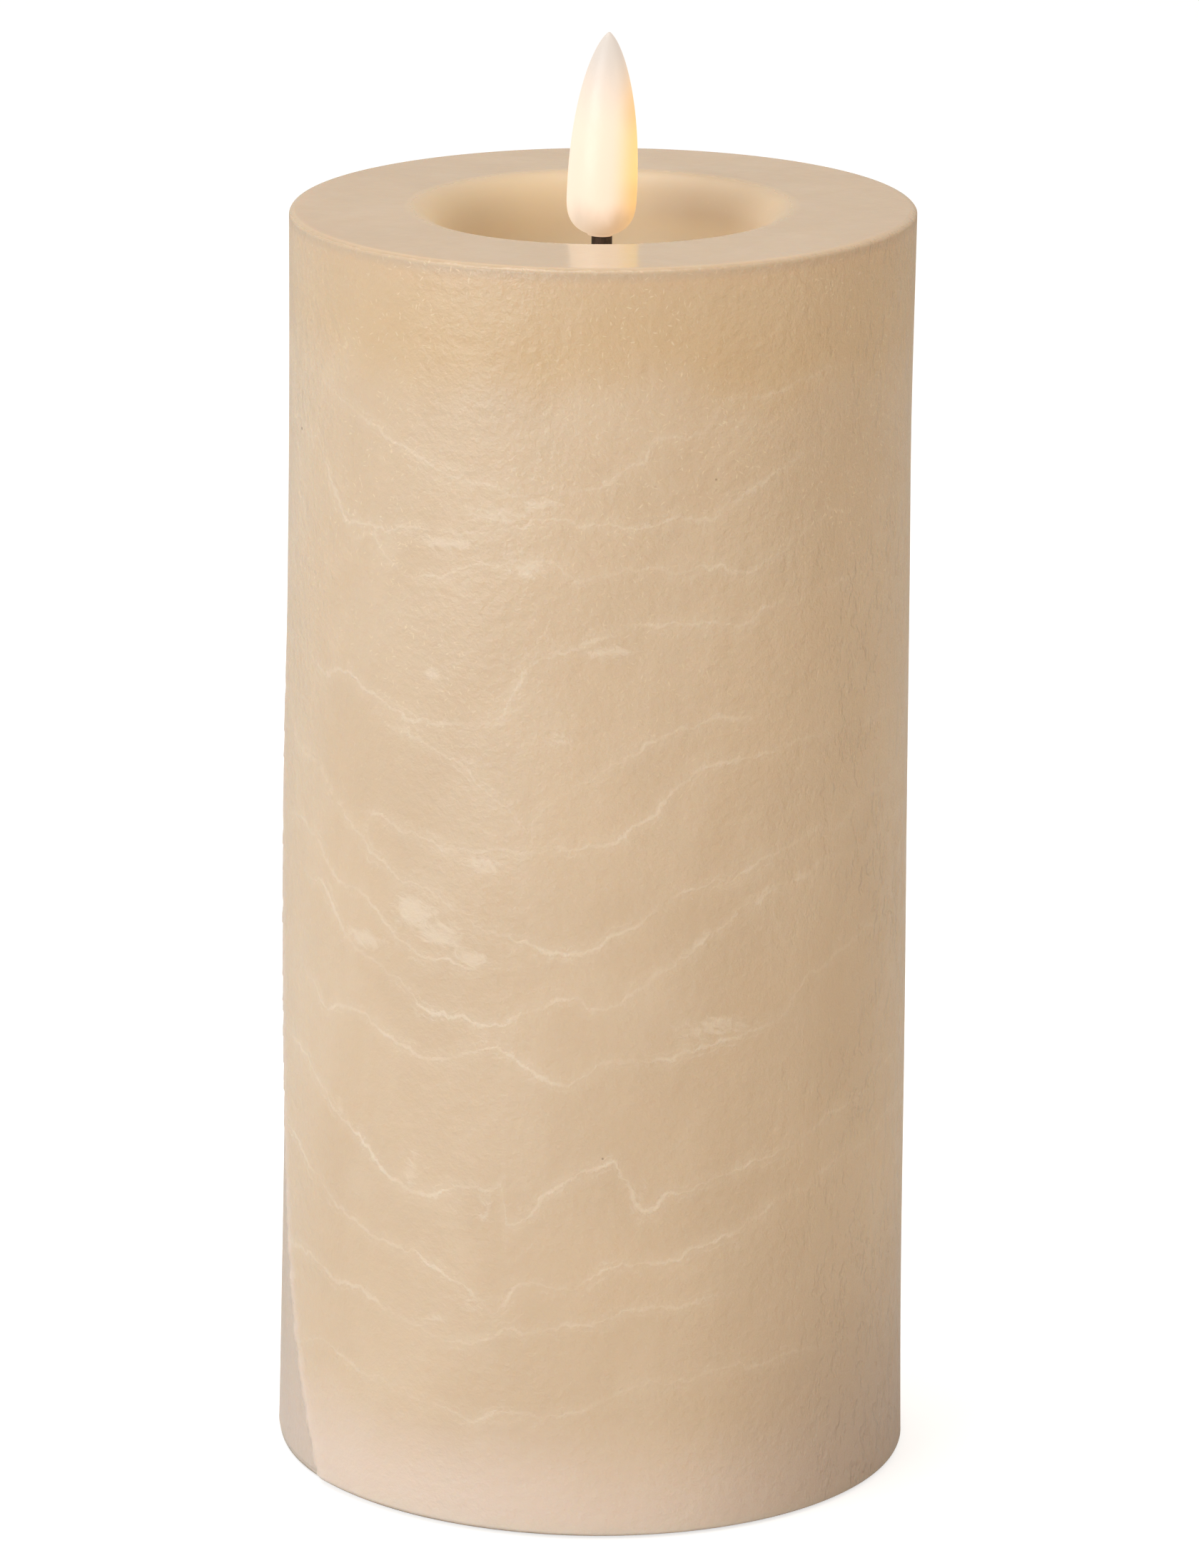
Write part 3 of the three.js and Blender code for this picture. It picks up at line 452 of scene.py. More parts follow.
def colour_drift():
    """Colour that wanders a little lighter and darker over the surface."""

    def build(tree, given):
        broad = scaled_noise(tree, given["Vector"], given["Scale"], 3.0, 0.6)
        value = calc(tree, "SUBTRACT", ease(tree, broad, 0.3, 0.7), 0.5)
        value = calc(tree, "MULTIPLY_ADD", value, given["Amount"], 1.0)
        values = {"Color": given["Colour"], "Value": value}
        return put(tree, "ShaderNodeHueSaturation", values).outputs[0]

    inputs = (
        ("Vector", VECTOR, None),
        ("Colour", COLOUR, (0.5, 0.5, 0.5, 1)),
        ("Scale", FLOAT, 100.0),
        ("Amount", FLOAT, 0.1),
    )
    return group("Colour drift", inputs, ("Colour", COLOUR), build)


def fine_grain():
    """Height of a fine grain with a coarser swell under it."""

    def build(tree, given):
        fine = scaled_noise(tree, given["Vector"], given["Scale"], 3.0, 0.6)
        coarse = scaled_noise(tree, given["Vector"], times(tree, given["Scale"], 0.22))
        return calc(tree, "MULTIPLY_ADD", coarse, given["Swell"], fine)

    inputs = (("Vector", VECTOR, None), ("Scale", FLOAT, 1500.0), ("Swell", FLOAT, 0.5))
    return group("Fine grain", inputs, ("Height", FLOAT), build)


# Each direction of the scratches: how far it leans, in degrees, and the shift of its pattern.
SCRATCH_DIRECTIONS = ((12, 0.013), (-42, 0.047), (68, 0.081), (-80, 0.029))


def hairlines():
    """Mask of short fine scratches in a few leaning directions."""

    def build(tree, given):
        total = 0.0
        warped = wobbled(tree, given["Vector"], given["Scale"], 0.9)
        for lean, shift in SCRATCH_DIRECTIONS:
            bent = stretched(tree, warped, (1.8, 1.8, 0.45), (0, lean, 0), (shift, 0, shift))
            near, pick = spots(tree, bent, given["Scale"])
            chosen = calc(tree, "LESS_THAN", pick, given["Amount"])
            line = times(tree, ease(tree, near, 0.20, 0.08), chosen)
            total = calc(tree, "MAXIMUM", total, line)
        return total

    inputs = (("Vector", VECTOR, None), ("Scale", FLOAT, 1000.0), ("Amount", FLOAT, 0.3))
    return group("Hairlines", inputs, ("Mask", FLOAT), build)


def new_material(name):
    """A material with its tree, its Principled shader and its Object coordinates."""
    material = bpy.data.materials.new(name)
    material.use_nodes = True
    tree = material.node_tree
    shader = tree.nodes["Principled BSDF"]
    at = put(tree, "ShaderNodeTexCoord").outputs["Object"]
    return material, tree, shader, at


def relief(tree, shader, height, depth):
    """Feeds a height, in units of depth, to the shader's normal."""
    bump = put(tree, "ShaderNodeBump", {"Height": height, "Distance": depth, "Strength": 1.0})
    tree.links.new(bump.outputs[0], shader.inputs["Normal"])


def drifting(tree, at, colour, fineness, amount):
    """A colour with the drift, of so many waves a millimetre."""
    scale = fineness * PER_MM
    return use(tree, colour_drift(), Vector=at, Colour=colour, Scale=scale, Amount=amount)


def scratches(tree, at, fineness, amount):
    """Mask of the hairlines, of so many a millimetre."""
    return use(tree, hairlines(), Vector=at, Scale=fineness * PER_MM, Amount=amount)


def grain(tree, at, fineness, swell):
    """Height of the fine grain, of so many waves a millimetre."""
    return use(tree, fine_grain(), Vector=at, Scale=fineness * PER_MM, Swell=swell)


def made_once(name, build):
    """The material of that name, built the first time it is asked for."""
    return bpy.data.materials.get(name) or build(name)


# ---- Wax ------------------------------------------------------------------------

# Each vein in the wax, from the foot up: its strength, then the points it passes through,
# as an azimuth in degrees from the front and a height in millimetres, one after the other.
VEINS = (
    (0.55, (-68, 16, -53, 18, -42, 16, -21, 14, -6, 15, 5, 18, 24, 20, 50, 20, 77, 19)),
    (0.65, (-72, 28, -55, 27, -45, 26, -28, 23, -22, 23, -6, 26, 12, 28, 21, 29)),
    (0.85, (-73, 42, -63, 39, -46, 34, -36, 33, -23, 30, -17, 27, -14, 30, -3, 31, 2, 33,
            16, 34, 31, 38, 50, 42, 75, 45)),
    (1.0, (-70, 53, -60, 50, -44, 44, -39, 41, -33, 40, -22, 42, -16, 42, -15, 37, -11, 39,
           -8, 42, -4, 44, 4, 46, 8, 41, 10, 39, 14, 42, 29, 44, 50, 48, 75, 52)),
    (0.85, (-62, 62, -56, 59, -48, 60, -27, 56, -23, 58, -18, 59, -4, 55, 1, 57, 6, 58,
            21, 59, 35, 61, 43, 66, 60, 69)),
    (0.9, (-60, 74, -50, 68, -43, 67, -37, 65, -31, 62, -16, 62, -6, 65, 5, 65, 16, 70,
           29, 76, 49, 79, 75, 81)),
    (0.75, (-68, 80, -57, 77, -48, 74, -39, 71, -33, 69, -22, 68, -16, 69)),
    (0.8, (-77, 90, -60, 87, -51, 83, -45, 80, -37, 77, -29, 76, -20, 73, -11, 71, -2, 71,
           4, 73, 14, 77, 28, 80, 53, 84, 75, 86)),
    (0.8, (-41, 84, -34, 83, -27, 81, -16, 83, -7, 82, 5, 85, 11, 87, 14, 90, 18, 92,
           39, 94, 68, 94)),
    (0.6, (-36, 95, -30, 93, -24, 91, -19, 89, -16, 88, -12, 85, -8, 88, 10, 96, 25, 98)),
    (0.8, (-73, 101, -57, 99, -51, 100, -35, 96, -21, 97, -17, 98, -12, 104, -7, 106,
           6, 109, 25, 109, 50, 112)),
    (0.7, (-44, 116, -37, 113, -29, 114, -16, 116, -8, 117, -4, 114, 1, 115, 10, 116,
           23, 115, 30, 115, 46, 120)),
    (0.8, (-77, 127, -63, 126, -57, 121, -53, 118, -41, 118, -25, 119, -8, 121, 5, 121,
           20, 121, 27, 124, 38, 127)),
    (0.65, (-60, 133, -30, 126, -16, 124, -3, 125, 2, 126, 8, 128, 10, 131, 19, 131,
            23, 135, 36, 135, 45, 137)),
)
# Past its ends a vein fades out over these degrees.
VEIN_FADE = 9
# Behind, all the veins wander together by the first height and each alone by the second.
BACK_WANDER = 6 * MM
BACK_RIPPLE = 2.2 * MM
VEIN_CRINKLE = 0.9 * MM
VEIN_LEAST_GAP = 0.9 * MM
VEIN_END_GAP = 8 * MM
# Chalky smudges: azimuth in degrees, height, half width and half height in millimetres, and
# strength. Each fills the side of a vein that its middle lies on.
SMUDGES = (
    (-18, 121.5, 5.0, 1.3, 1.0),
    (-10, 123, 3.0, 1.0, 1.0),
    (-28, 117.5, 5.5, 1.0, 1.0),
    (-12, 115.5, 3.0, 1.3, 1.0),
    (-31, 102, 1.6, 0.9, 1.0),
    (-6, 96, 2.4, 0.8, 1.0),
    (2, 106, 4.0, 1.0, 1.0),
    (-34, 73.6, 3.8, 2.6, 1.0),
    (-28, 71.5, 4.2, 2.2, 1.0),
    (-22, 69, 3.0, 1.1, 1.0),
    (-46, 69, 4.2, 1.2, 1.0),
    (22, 61.5, 5.4, 1.4, 1.0),
    (6, 58, 4.0, 0.9, 0.62),
    (-20, 80.5, 3.4, 1.0, 1.0),
    (-34, 42.5, 1.6, 3.6, 0.62),
    (-19, 39.5, 1.3, 2.4, 0.62),
    (9, 42, 1.6, 2.4, 0.62),
    (-21, 28, 3.8, 2.0, 0.62),
    (-29, 25, 3.6, 0.9, 0.62),
    (-52, 47, 1.4, 2.6, 0.62),
)
# The lap: its azimuth at the foot and its swing above, in degrees, and where it runs out. It
# is a step that falls away over LAP_FALL on one side and is pressed in on the other.
SEAM_AT_FOOT = -57.5
SEAM_SWING = -26.0
SEAM_RISE = 31 * MM
SEAM_END = 125 * MM
LAP_STEP = 0.35 * MM
LAP_FALL = 9 * MM
PRESSED_FROM, PRESSED_TO = -44 * MM, -14 * MM
# The pressed facet's painted shade grows over this span towards the lap's edge.
SHADED_FROM, SHADED_TO = -30 * MM, -8 * MM
DRAFT = 1.6 * MM
POUR_SWELL = 0.09 * MM
FLARE_REACH = 32 * MM
WAX_COLUMNS = 450


def outside_radius(z, foot, rim, height):
    """Foot radius less the draft, most of it low down: 1 - (1 - z / height)^1.35."""
    share = 1 - np.clip(1 - z / height, 0, 1) ** 1.35
    return foot - (foot - rim) * share


def wax_profile(wax):
    """The wax's closed section, from the foot up the outside, into the well and down the core.

    Returns its points and, for each, how fully it belongs to the outside and to the well.
    """
    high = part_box("wax_shell")[1]
    core_low, core_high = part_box("core_housing")
    foot, height, base = high.x, high.z, wax.foot_level
    rim = foot - DRAFT
    side = np.linspace(base + wax.foot_round, height - wax.rim_round, 142)
    side = np.stack([outside_radius(side, foot, rim, height), side], axis=1)
    floor = height - wax.well_depth
    hole = centre_of("wick_stem")[3] * 0.4 + 0.5 * MM
    core = core_high.x + FIXED_GAP
    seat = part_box("base_plate")[1].x + FIXED_GAP
    rebate = core_low.z + FIXED_GAP
    ceiling = core_high.z + FIXED_GAP

    # The well falls from its lip as a quarter of an ellipse, then eases into a round floor.
    fall = np.radians(np.linspace(90, 180, 12))
    lip_width, lip_depth = wax.well_radius - wax.well_throat, 0.5 * wax.well_depth
    lip_r = wax.well_radius + lip_width * np.cos(fall)
    lip_z = height - lip_depth + lip_depth * np.sin(fall)
    fillet = 0.47 * wax.well_depth
    enter = np.append(np.linspace(0, 1, 6), np.ones(2))
    leave = np.append(np.linspace(1, 0, 7), np.zeros(2))
    fall_share = smooth_step(np.linspace(0, 1, 12), -0.25, 0.55)
    foot_round, rim_round, throat = wax.foot_round, wax.rim_round, wax.well_throat
    face_from, face_to = rim - rim_round - 0.5 * MM, wax.well_radius + 0.5 * MM
    parts = (
        (arc(foot - foot_round, base + foot_round, foot_round, -90, -9, 8), enter, 0),
        (side, 1, 0),
        (arc(rim - rim_round, height - rim_round, rim_round, 9, 90, 9), leave, 0),
        (stretch(face_from, height, face_to, height, 10), 0, 0),
        (np.stack([lip_r, lip_z], axis=1), 0, fall_share),
        (arc(throat - fillet, floor + fillet, fillet, -8, -90, 10), 0, 1),
        (stretch(throat - fillet - 1 * MM, floor, hole + 0.4 * MM, floor, 8), 0, 1),
        (stretch(hole, floor - 0.2 * MM, hole, ceiling, 2), 0, 1),
        (stretch(core, ceiling, core, rebate, 3), 0, 0),
        (stretch(seat, rebate, seat, base, 2), 0, 0),
    )
    points = np.vstack([p for p, _, _ in parts])
    outside = np.concatenate([w * np.ones(len(p)) for p, w, _ in parts])
    hollow = np.concatenate([w * np.ones(len(p)) for p, _, w in parts])
    return points, outside, hollow, height


def seam_azimuth(z):
    """Where the lap lies: it swings away from its place at the foot as 1 - e^(-z / rise)."""
    ragged = 0.5 * np.sin(z / MM * 1.9) + 0.35 * np.sin(z / MM * 4.7 + 1.0)
    return SEAM_AT_FOOT + SEAM_SWING * (1 - np.exp(-z / SEAM_RISE)) + 0.6 * ragged


def vein_fields(turn, height, radius):
    """Distance to the nearest vein, with a sign that changes at each one, and its strength.

    Heights of the veins at each azimuth come from their points and a periodic crinkle. Between
    two veins the distance is sin(pi t) gap / pi, with t the share of the gap below the point.
    """
    azimuth = np.degrees(turn)
    front = smooth_step(np.cos(turn), -0.15, 0.25)
    lines, strengths = [], []
    shared = BACK_WANDER * wander(turn, 5, (2, 8))
    for k, (strength, points) in enumerate(VEINS):
        at, level = np.array(points, float).reshape(-1, 2).T
        line = np.interp(azimuth, at, level * MM, period=360)
        line += VEIN_CRINKLE * wander(turn, 40 + k, (14, 170), 0.75)
        line += (1 - front) * (shared + BACK_RIPPLE * wander(turn, 70 + k, (3, 16)))
        lines.append(line)
        fade = smooth_step(azimuth, at[0] - VEIN_FADE, at[0])
        fade = fade * smooth_step(azimuth, at[-1] + VEIN_FADE, at[-1])
        broken = smooth_step(wander(turn, 110 + k, (6, 60), 0.5), -0.9, 0.5)
        behind = 0.8 * (1 - front) * smooth_step(wander(turn, 150 + k, (2, 12)), -0.6, 0.4)
        right = 1 - 0.55 * smooth_step(azimuth, 22, 50) * front
        strengths.append(strength * (0.25 + 0.75 * broken) * np.maximum(fade * right, behind))
    for k in range(1, len(lines)):
        lines[k] = np.maximum(lines[k], lines[k - 1] + VEIN_LEAST_GAP)
    lines, strengths = np.array(lines), np.array(strengths)
    slope = np.gradient(lines, axis=1) / (radius * (turn[1] - turn[0]))
    steep = 1 / np.sqrt(1 + slope**2)

    share = np.clip((height - lines[0]) / VEIN_END_GAP, -0.5, 0)
    share += np.clip((height - lines[-1]) / VEIN_END_GAP, 0, 0.5)
    gap = np.full(height.shape, VEIN_END_GAP)
    for below, above in zip(lines[:-1], lines[1:]):
        share += np.clip((height - below) / (above - below), 0, 1)
        gap = np.where((height >= below) & (height < above), above - below, gap)
    nearest = np.clip(np.round(share), 0, len(VEINS) - 1).astype(int)
    column = np.broadcast_to(np.arange(len(turn)), height.shape)
    distance = np.sin(math.pi * share) * gap / math.pi * steep[nearest, column]
    return distance, strengths[nearest, column]


def smudge_field(turn, height, radius, distance):
    """The highest of a set of soft ovals, each its strength times e^-(distance / half size)^2.

    Its sign is that of the vein distance on the side that the smudge fills.
    """
    field = np.zeros(height.shape)
    for azimuth, level, wide, tall, amount in SMUDGES:
        across = (turn - math.radians(azimuth)) * radius / (wide * MM)
        along = (height - level * MM) / (tall * MM)
        away = across**2 + along**2
        side = 1.0 if distance.ravel()[np.argmin(away)] > 0 else -1.0
        oval = amount * np.exp(-away)
        field = np.where(oval > np.abs(field), side * oval, field)
    return field


def wax_surface(wax):
    """The wax body's grid of points and its fields, one value for each point."""
    profile, outside, hollow, top = wax_profile(wax)
    turn = np.linspace(-math.pi, math.pi, WAX_COLUMNS, endpoint=False)
    columns = (profile[:, 0], profile[:, 1], outside, hollow)
    r, z, outside, hollow = (np.repeat(c[:, None], WAX_COLUMNS, axis=1) for c in columns)
    level = z

    # A slow unevenness from pouring, then the lap: a step that fades away from its edge.
    swell = np.sin(2 * turn + 9 * z / top) + 0.6 * np.sin(3 * turn - 14 * z / top + 1.3)
    r = r + outside * POUR_SWELL * swell
    flare = smooth_step(z, top - FLARE_REACH, top) * np.maximum(np.sin(turn), 0) ** 2
    r = r + outside * wax.rim_flare * flare
    edge = (turn - np.radians(seam_azimuth(z))) * r
    stand = wax.lap_height * (1 - smooth_step(z, 0.45 * SEAM_END, SEAM_END))
    lap = smooth_step(edge, -LAP_STEP, LAP_STEP)
    proud = lap * np.exp(-np.maximum(edge, 0) / LAP_FALL)
    pressed = (1 - lap) * smooth_step(edge, PRESSED_FROM, PRESSED_TO)
    r = r + outside * stand * (proud - 0.9 * pressed)
    x, y = r * np.sin(turn), -r * np.cos(turn)
    z = z + math.tan(wax.rim_tilt) * x * smooth_step(z, 0.6 * top, top)
    z = z - math.tan(wax.foot_tilt) * x * (1 - smooth_step(z, 0, 0.2 * top)) * outside

    radius = profile[:, 0].max()
    distance, strength = vein_fields(turn, z, radius)
    shown = stand / wax.lap_height
    # Mask of the painted shade on the pressed facet.
    facet = (1 - lap) * smooth_step(edge, SHADED_FROM, SHADED_TO) * shown
    fields = {
        "vein_distance": distance / MM,
        "vein_strength": strength * outside,
        "smudge": smudge_field(turn, z, radius, distance) * outside,
        "facet": facet * outside,
        # Mask of the painted highlight along the lap's edge.
        "lap_edge": np.exp(-(((edge / MM - 0.8) / 1.1) ** 2)) * shown * outside,
        # Mask of the painted shade on the rim's rounded edge.
        "rim_band": outside * np.exp(-(((level - top) / MM + 0.5) / 0.7) ** 2),
        "outside": outside,
        "hollow": hollow,
    }
    return np.stack([x, y, z], axis=2), fields


def wax_veins(tree, at, wax):
    """Mask of the white veins, frayed by noise, with side strands and a soft halo."""
    distance = attribute(tree, "vein_distance")
    jitter = swing(tree, at, 0.62, 4.0, 0.68)
    distance = calc(tree, "ABSOLUTE", calc(tree, "MULTIPLY_ADD", jitter, 1.8, distance))
    patchy = ease(tree, noise(tree, at, 0.22), 0.38, 0.62, 0.65, 1.0)
    width = times(tree, patchy, wax.vein_width * PER_MM * 2.0)
    line = times(tree, ease(tree, distance, width, 0.0), patchy)
    beside = calc(tree, "ABSOLUTE", calc(tree, "SUBTRACT", distance, 0.75))
    apart = ease(tree, noise(tree, at, 0.3, 3.0), 0.5, 0.6, 0.0, 0.5)
    strand = times(tree, ease(tree, beside, 0.22, 0.0), apart)
    line = calc(tree, "MAXIMUM", line, strand)
    halo = ease(tree, distance, 1.7, 0.2, 0.0, 0.2)
    threads = ease(tree, noise(tree, at, 0.8, 4.0, 0.7, 1.5), 0.56, 0.68)
    halo = calc(tree, "MULTIPLY_ADD", threads, times(tree, halo, 1.8), halo)
    veins = calc(tree, "MAXIMUM", line, halo)
    return calc(tree, "MULTIPLY", veins, attribute(tree, "vein_strength"), clamp=True)


def wax_smudges(tree, at):
    """Mask of the chalky smudges, torn into flakes."""
    smudge = attribute(tree, "smudge")
    strokes = stretched(tree, at, (1.6, 1.6, 0.75), (0, 20, 0))
    torn = noise(tree, strokes, 0.6, 5.0, 0.7, 1.2)
    level = calc(tree, "MULTIPLY_ADD", calc(tree, "ABSOLUTE", smudge), 0.5, torn)
    body = ease(tree, level, 0.66, 0.98, 0.0, 0.37)
    inward = times(tree, attribute(tree, "vein_distance"), calc(tree, "SIGN", smudge))
    inward = calc(tree, "MULTIPLY_ADD", swing(tree, at, 1.1, 3.0, 0.6), 0.9, inward)
    return times(tree, body, ease(tree, inward, -0.15, 0.2, 0.12, 1.0))


def wax_flecks(tree, at, height, inside):
    """Mask of the short light scratches, thickest below the rim."""
    broad = ease(tree, noise(tree, at, 0.07), 0.35, 0.65, 0.25, 1.0)
    high_up = ease(tree, height, 62 * MM, 125 * MM, 0.06, 1.0)
    shown = ease(tree, inside, 0.0, 1.0, 0.42, 0.06)
    return times(tree, scratches(tree, at, 0.95, 0.5), broad, high_up, shown)


def wax_colour(tree, at, wax, outside, well):
    """Colour of the wax before its veins and scratches, with painted light and shade laid over it."""
    across, _, height = axes(tree, at)
    colour = drifting(tree, at, opaque(wax.wax), 0.05, 0.045)
    cloudy = stretched(tree, at, (1, 1, 1.8), (0, 20, 0))
    cloud = ease(tree, noise(tree, cloudy, 0.09, 3.0, 0.55, 0.6), 0.35, 0.75, 0.0, 0.12)
    colour = tinted(tree, colour, wax.chalk, cloud)
    # Painted light at the edges: a painted sheen pales the -X edge, and painted light pales the +X
    # edge against the shade of its pits.
    painted_sheen_left = ease(tree, across, -29 * MM, -37 * MM, 0.0, 0.2)
    painted_light_right = ease(tree, across, 28 * MM, 36 * MM, 0.0, 0.1)
    pale = calc(tree, "ADD", painted_sheen_left, painted_light_right)
    colour = tinted(tree, colour, wax.chalk, pale, outside)

    # Above the core, light comes through and turns the wax amber, with an uneven lower edge.
    wobble = swing(tree, at, 0.04, 3.0)
    level = calc(tree, "MULTIPLY_ADD", wobble, 20 * MM, height)
    above = ease(tree, level, wax.core_top - 4 * MM, wax.core_top + 5 * MM)
    below_rim = ease(tree, height, 149.5 * MM, 139 * MM, 0.7, 1.0)
    thin = ease(tree, across, -36 * MM, -20 * MM, 0.45, 1.0)
    thin = times(tree, thin, ease(tree, across, 12 * MM, 34 * MM, 1.0, 0.6))
    colour = tinted(tree, colour, wax.amber, above, below_rim, outside, thin, 0.5)

    # Painted light and shade in the well: it grows paler towards its floor, a painted glow, and darker
    # on its +X side, a painted shade.
    deep = ease(tree, height, 149 * MM, 143 * MM)
    in_well = mix(tree, deep, opaque(wax.well), opaque(wax.well_floor_glow))
    colour = mix(tree, times(tree, well, 0.8), colour, in_well)
    far_side = ease(tree, across, -2 * MM, 9 * MM)
    colour = tinted(tree, colour, wax.well_side_shade, far_side, ease(tree, deep, 1.0, 0.3), well, 0.8)
    # Painted shade on the rim's rounded edge.
    colour = tinted(tree, colour, wax.rim_edge_shade, attribute(tree, "rim_band"), 0.75)

    # Painted light bounced from the floor pales the wax towards its lower edge.
    level = calc(tree, "MULTIPLY_ADD", wobble, 8 * MM, height)
    low_down = ease(tree, level, 17 * MM, 1 * MM, 0.0, 0.75)
    colour = tinted(tree, colour, wax.foot, low_down, outside)
    # Painted shade low on the +X side, towards the foot.
    sideways = ease(tree, across, 8 * MM, 36 * MM)
    low_down = ease(tree, height, 42 * MM, 0.0, 0.0, 0.75)
    colour = tinted(tree, colour, wax.low_side_shade, sideways, low_down, outside)
    # Painted shade on the pressed facet beside the lap.
    return tinted(tree, colour, wax.shade, attribute(tree, "facet"), 0.7)


def wax_relief(tree, at, outside, white):
    """Height of the wax's pebbled skin, smooth on the rim, with the veins standing out."""
    across, _, height = axes(tree, at)
    high_up = ease(tree, height, 62 * MM, 125 * MM, 0.65, 1.0)
    pebbles = times(tree, grain(tree, at, 0.8, 0.8), high_up)
    # The +X side kept the mould's pits: coarser than the grain, and drawn out upwards.
    tall = noise(tree, stretched(tree, at, (1, 1, 1.7)), 0.5, 3.0, 0.6)
    patches = ease(tree, noise(tree, at, 0.06), 0.35, 0.6, 0.3, 1.0)
    rightwards = ease(tree, across, 14 * MM, 36 * MM)
    pits = times(tree, ease(tree, tall, 0.52, 0.36), rightwards, patches)
    pebbles = calc(tree, "MULTIPLY_ADD", pits, -0.65, pebbles)
    pebbles = times(tree, pebbles, ease(tree, outside, 0.0, 1.0, 0.04, 1.0))
    return calc(tree, "MULTIPLY_ADD", white, 0.35, pebbles)


def wax_material(name):
    """Cast wax: clouded and lit through at the top, with veins, smudges and fine scratches."""
    wax = settings().wax
    material, tree, shader, at = new_material(name)
    outside = attribute(tree, "outside")
    well = attribute(tree, "hollow")
    inside = calc(tree, "SUBTRACT", 1.0, outside)
    colour = wax_colour(tree, at, wax, outside, well)

    veins = times(tree, wax_veins(tree, at, wax), 0.54)
    white = calc(tree, "MAXIMUM", veins, wax_smudges(tree, at))
    colour = tinted(tree, colour, wax.chalk, white)
    colour = tinted(tree, colour, wax.scratch, wax_flecks(tree, at, axes(tree, at)[2], inside))
    # Painted highlight along the lap's edge, in the foot colour.
    colour = tinted(tree, colour, wax.foot, attribute(tree, "lap_edge"), 0.7)
    near, pick = spots(tree, at, 0.11 * PER_MM)
    few = calc(tree, "LESS_THAN", pick, 0.5)
    colour = tinted(tree, colour, wax.speck, ease(tree, near, 0.034, 0.022), few, 0.75)

    rough = ease(tree, noise(tree, at, 0.35, 3.0), 0.3, 0.7, 0.30, 0.42)
    rough = calc(tree, "MULTIPLY_ADD", white, 0.2, rough)
    polished = calc(tree, "SUBTRACT", inside, well)
    rough = times(tree, rough, ease(tree, polished, 0.0, 1.0, 1.0, 0.42))
    rough = calc(tree, "MULTIPLY_ADD", well, 0.2, rough)
    feed(tree, shader, Base_Color=colour, Roughness=rough, IOR=1.44)
    feed(tree, shader, Subsurface_Weight=0.35, Subsurface_Radius=(1.0, 0.55, 0.28))
    feed(tree, shader, Subsurface_Scale=4 * MM)
    relief(tree, shader, wax_relief(tree, at, outside, white), 0.26 * MM)
    return material


class CANDLE_OT_wax_body(bpy.types.Operator):
    """Build the wax body with its well, its lap and its marbling"""

    bl_idname = "candle.wax_body"
    bl_label = "Wax body"

    def execute(self, context):
        grid, fields = wax_surface(context.scene.candle.wax)
        mesh = grid_mesh("wax_body", grid, closed=True)
        for name, values in fields.items():
            layer = mesh.attributes.new(name, "FLOAT", "POINT")
            layer.data.foreach_set("value", values.astype(np.float32).ravel())
        material = made_once("cast wax", wax_material)
        piece("wax_body", mesh, "candle", [material], ["wax_shell"])
        return {"FINISHED"}


# ---- Flame, wick and lamp ---------------------------------------------------------


WICK_HOLE = 1.45 * MM
WICK_FLANGE = 3 * MM
WICK_LEDGE = 1.2 * MM
WICK_STEM = 1.2 * MM
WICK_BORE = 0.75 * MM


def flame_radius(share, belly):
    """Radius as a share of the widest, at a share of the height above the flame's foot.

    Below the belly (1 - u^3.2)^(1 / 2.2), with u the share of the way down; above it
    (1 - u^2.2)^0.68, with u the share of the way up to the tip.
    """
    down = np.clip(1 - share / belly, 0, 1)
    up = np.clip((share - belly) / (1 - belly), 0, 1)
    return np.where(share < belly, (1 - down**3.2) ** (1 / 2.2), (1 - up**2.2) ** 0.68)


def flame_surface(flame):
    """The flame's skin: out along its outside and back inside, closed at the wick's hole."""
    low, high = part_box("flame_diffuser")
    height = high.z - low.z
    widest = (high.y - low.y) / 2
    steps = 1 - np.cos(np.linspace(0.1, math.pi / 2, 64))
    share = np.concatenate([steps * flame.belly, np.linspace(flame.belly, 1, 90)[1:-1]])
    across = flame_radius(share, flame.belly) * widest
    across = np.where(share < flame.belly, np.maximum(across, WICK_HOLE), across)
    outer = np.stack([across, share * height], axis=1)
    inner_share = np.linspace(1 - 3.2 * MM / height, 2.2 * MM / height, 40)
    inner = flame_radius(inner_share, flame.belly) * widest - flame.wall
    inner = np.stack([np.maximum(inner, 0.1 * MM), inner_share * height], axis=1)
    tip = (0.12 * MM, height * 0.9995)
    outside = revolve(np.vstack([(WICK_HOLE, 0.0), outer, tip]), 96)
    inside = revolve(np.vstack([inner, (WICK_HOLE, flame.wall)]), 96)
    lean = np.array(Matrix.Rotation(flame.lean, 3, "Y"))
    foot = np.array([-flame.shift, 0.0, low.z])
    return np.concatenate([outside, inside]) @ lean.T + foot


def wick_surface():
    """The wick: a hollow stem on a flange, every edge eased."""
    low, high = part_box("wick_stem")
    ledge = low.z + WICK_LEDGE
    ease_out, fillet, chamfer = 0.15 * MM, 0.2 * MM, 0.1 * MM
    profile = (
        stretch(WICK_BORE, low.z, WICK_FLANGE - ease_out, low.z, 3),
        stretch(WICK_FLANGE, low.z + ease_out, WICK_FLANGE, ledge - ease_out, 2),
        stretch(WICK_FLANGE - ease_out, ledge, WICK_STEM + fillet, ledge, 2),
        stretch(WICK_STEM, ledge + fillet, WICK_STEM, high.z - chamfer, 40),
        stretch(WICK_STEM - chamfer, high.z, WICK_BORE, high.z, 2),
    )
    return revolve(np.vstack(profile), 48)


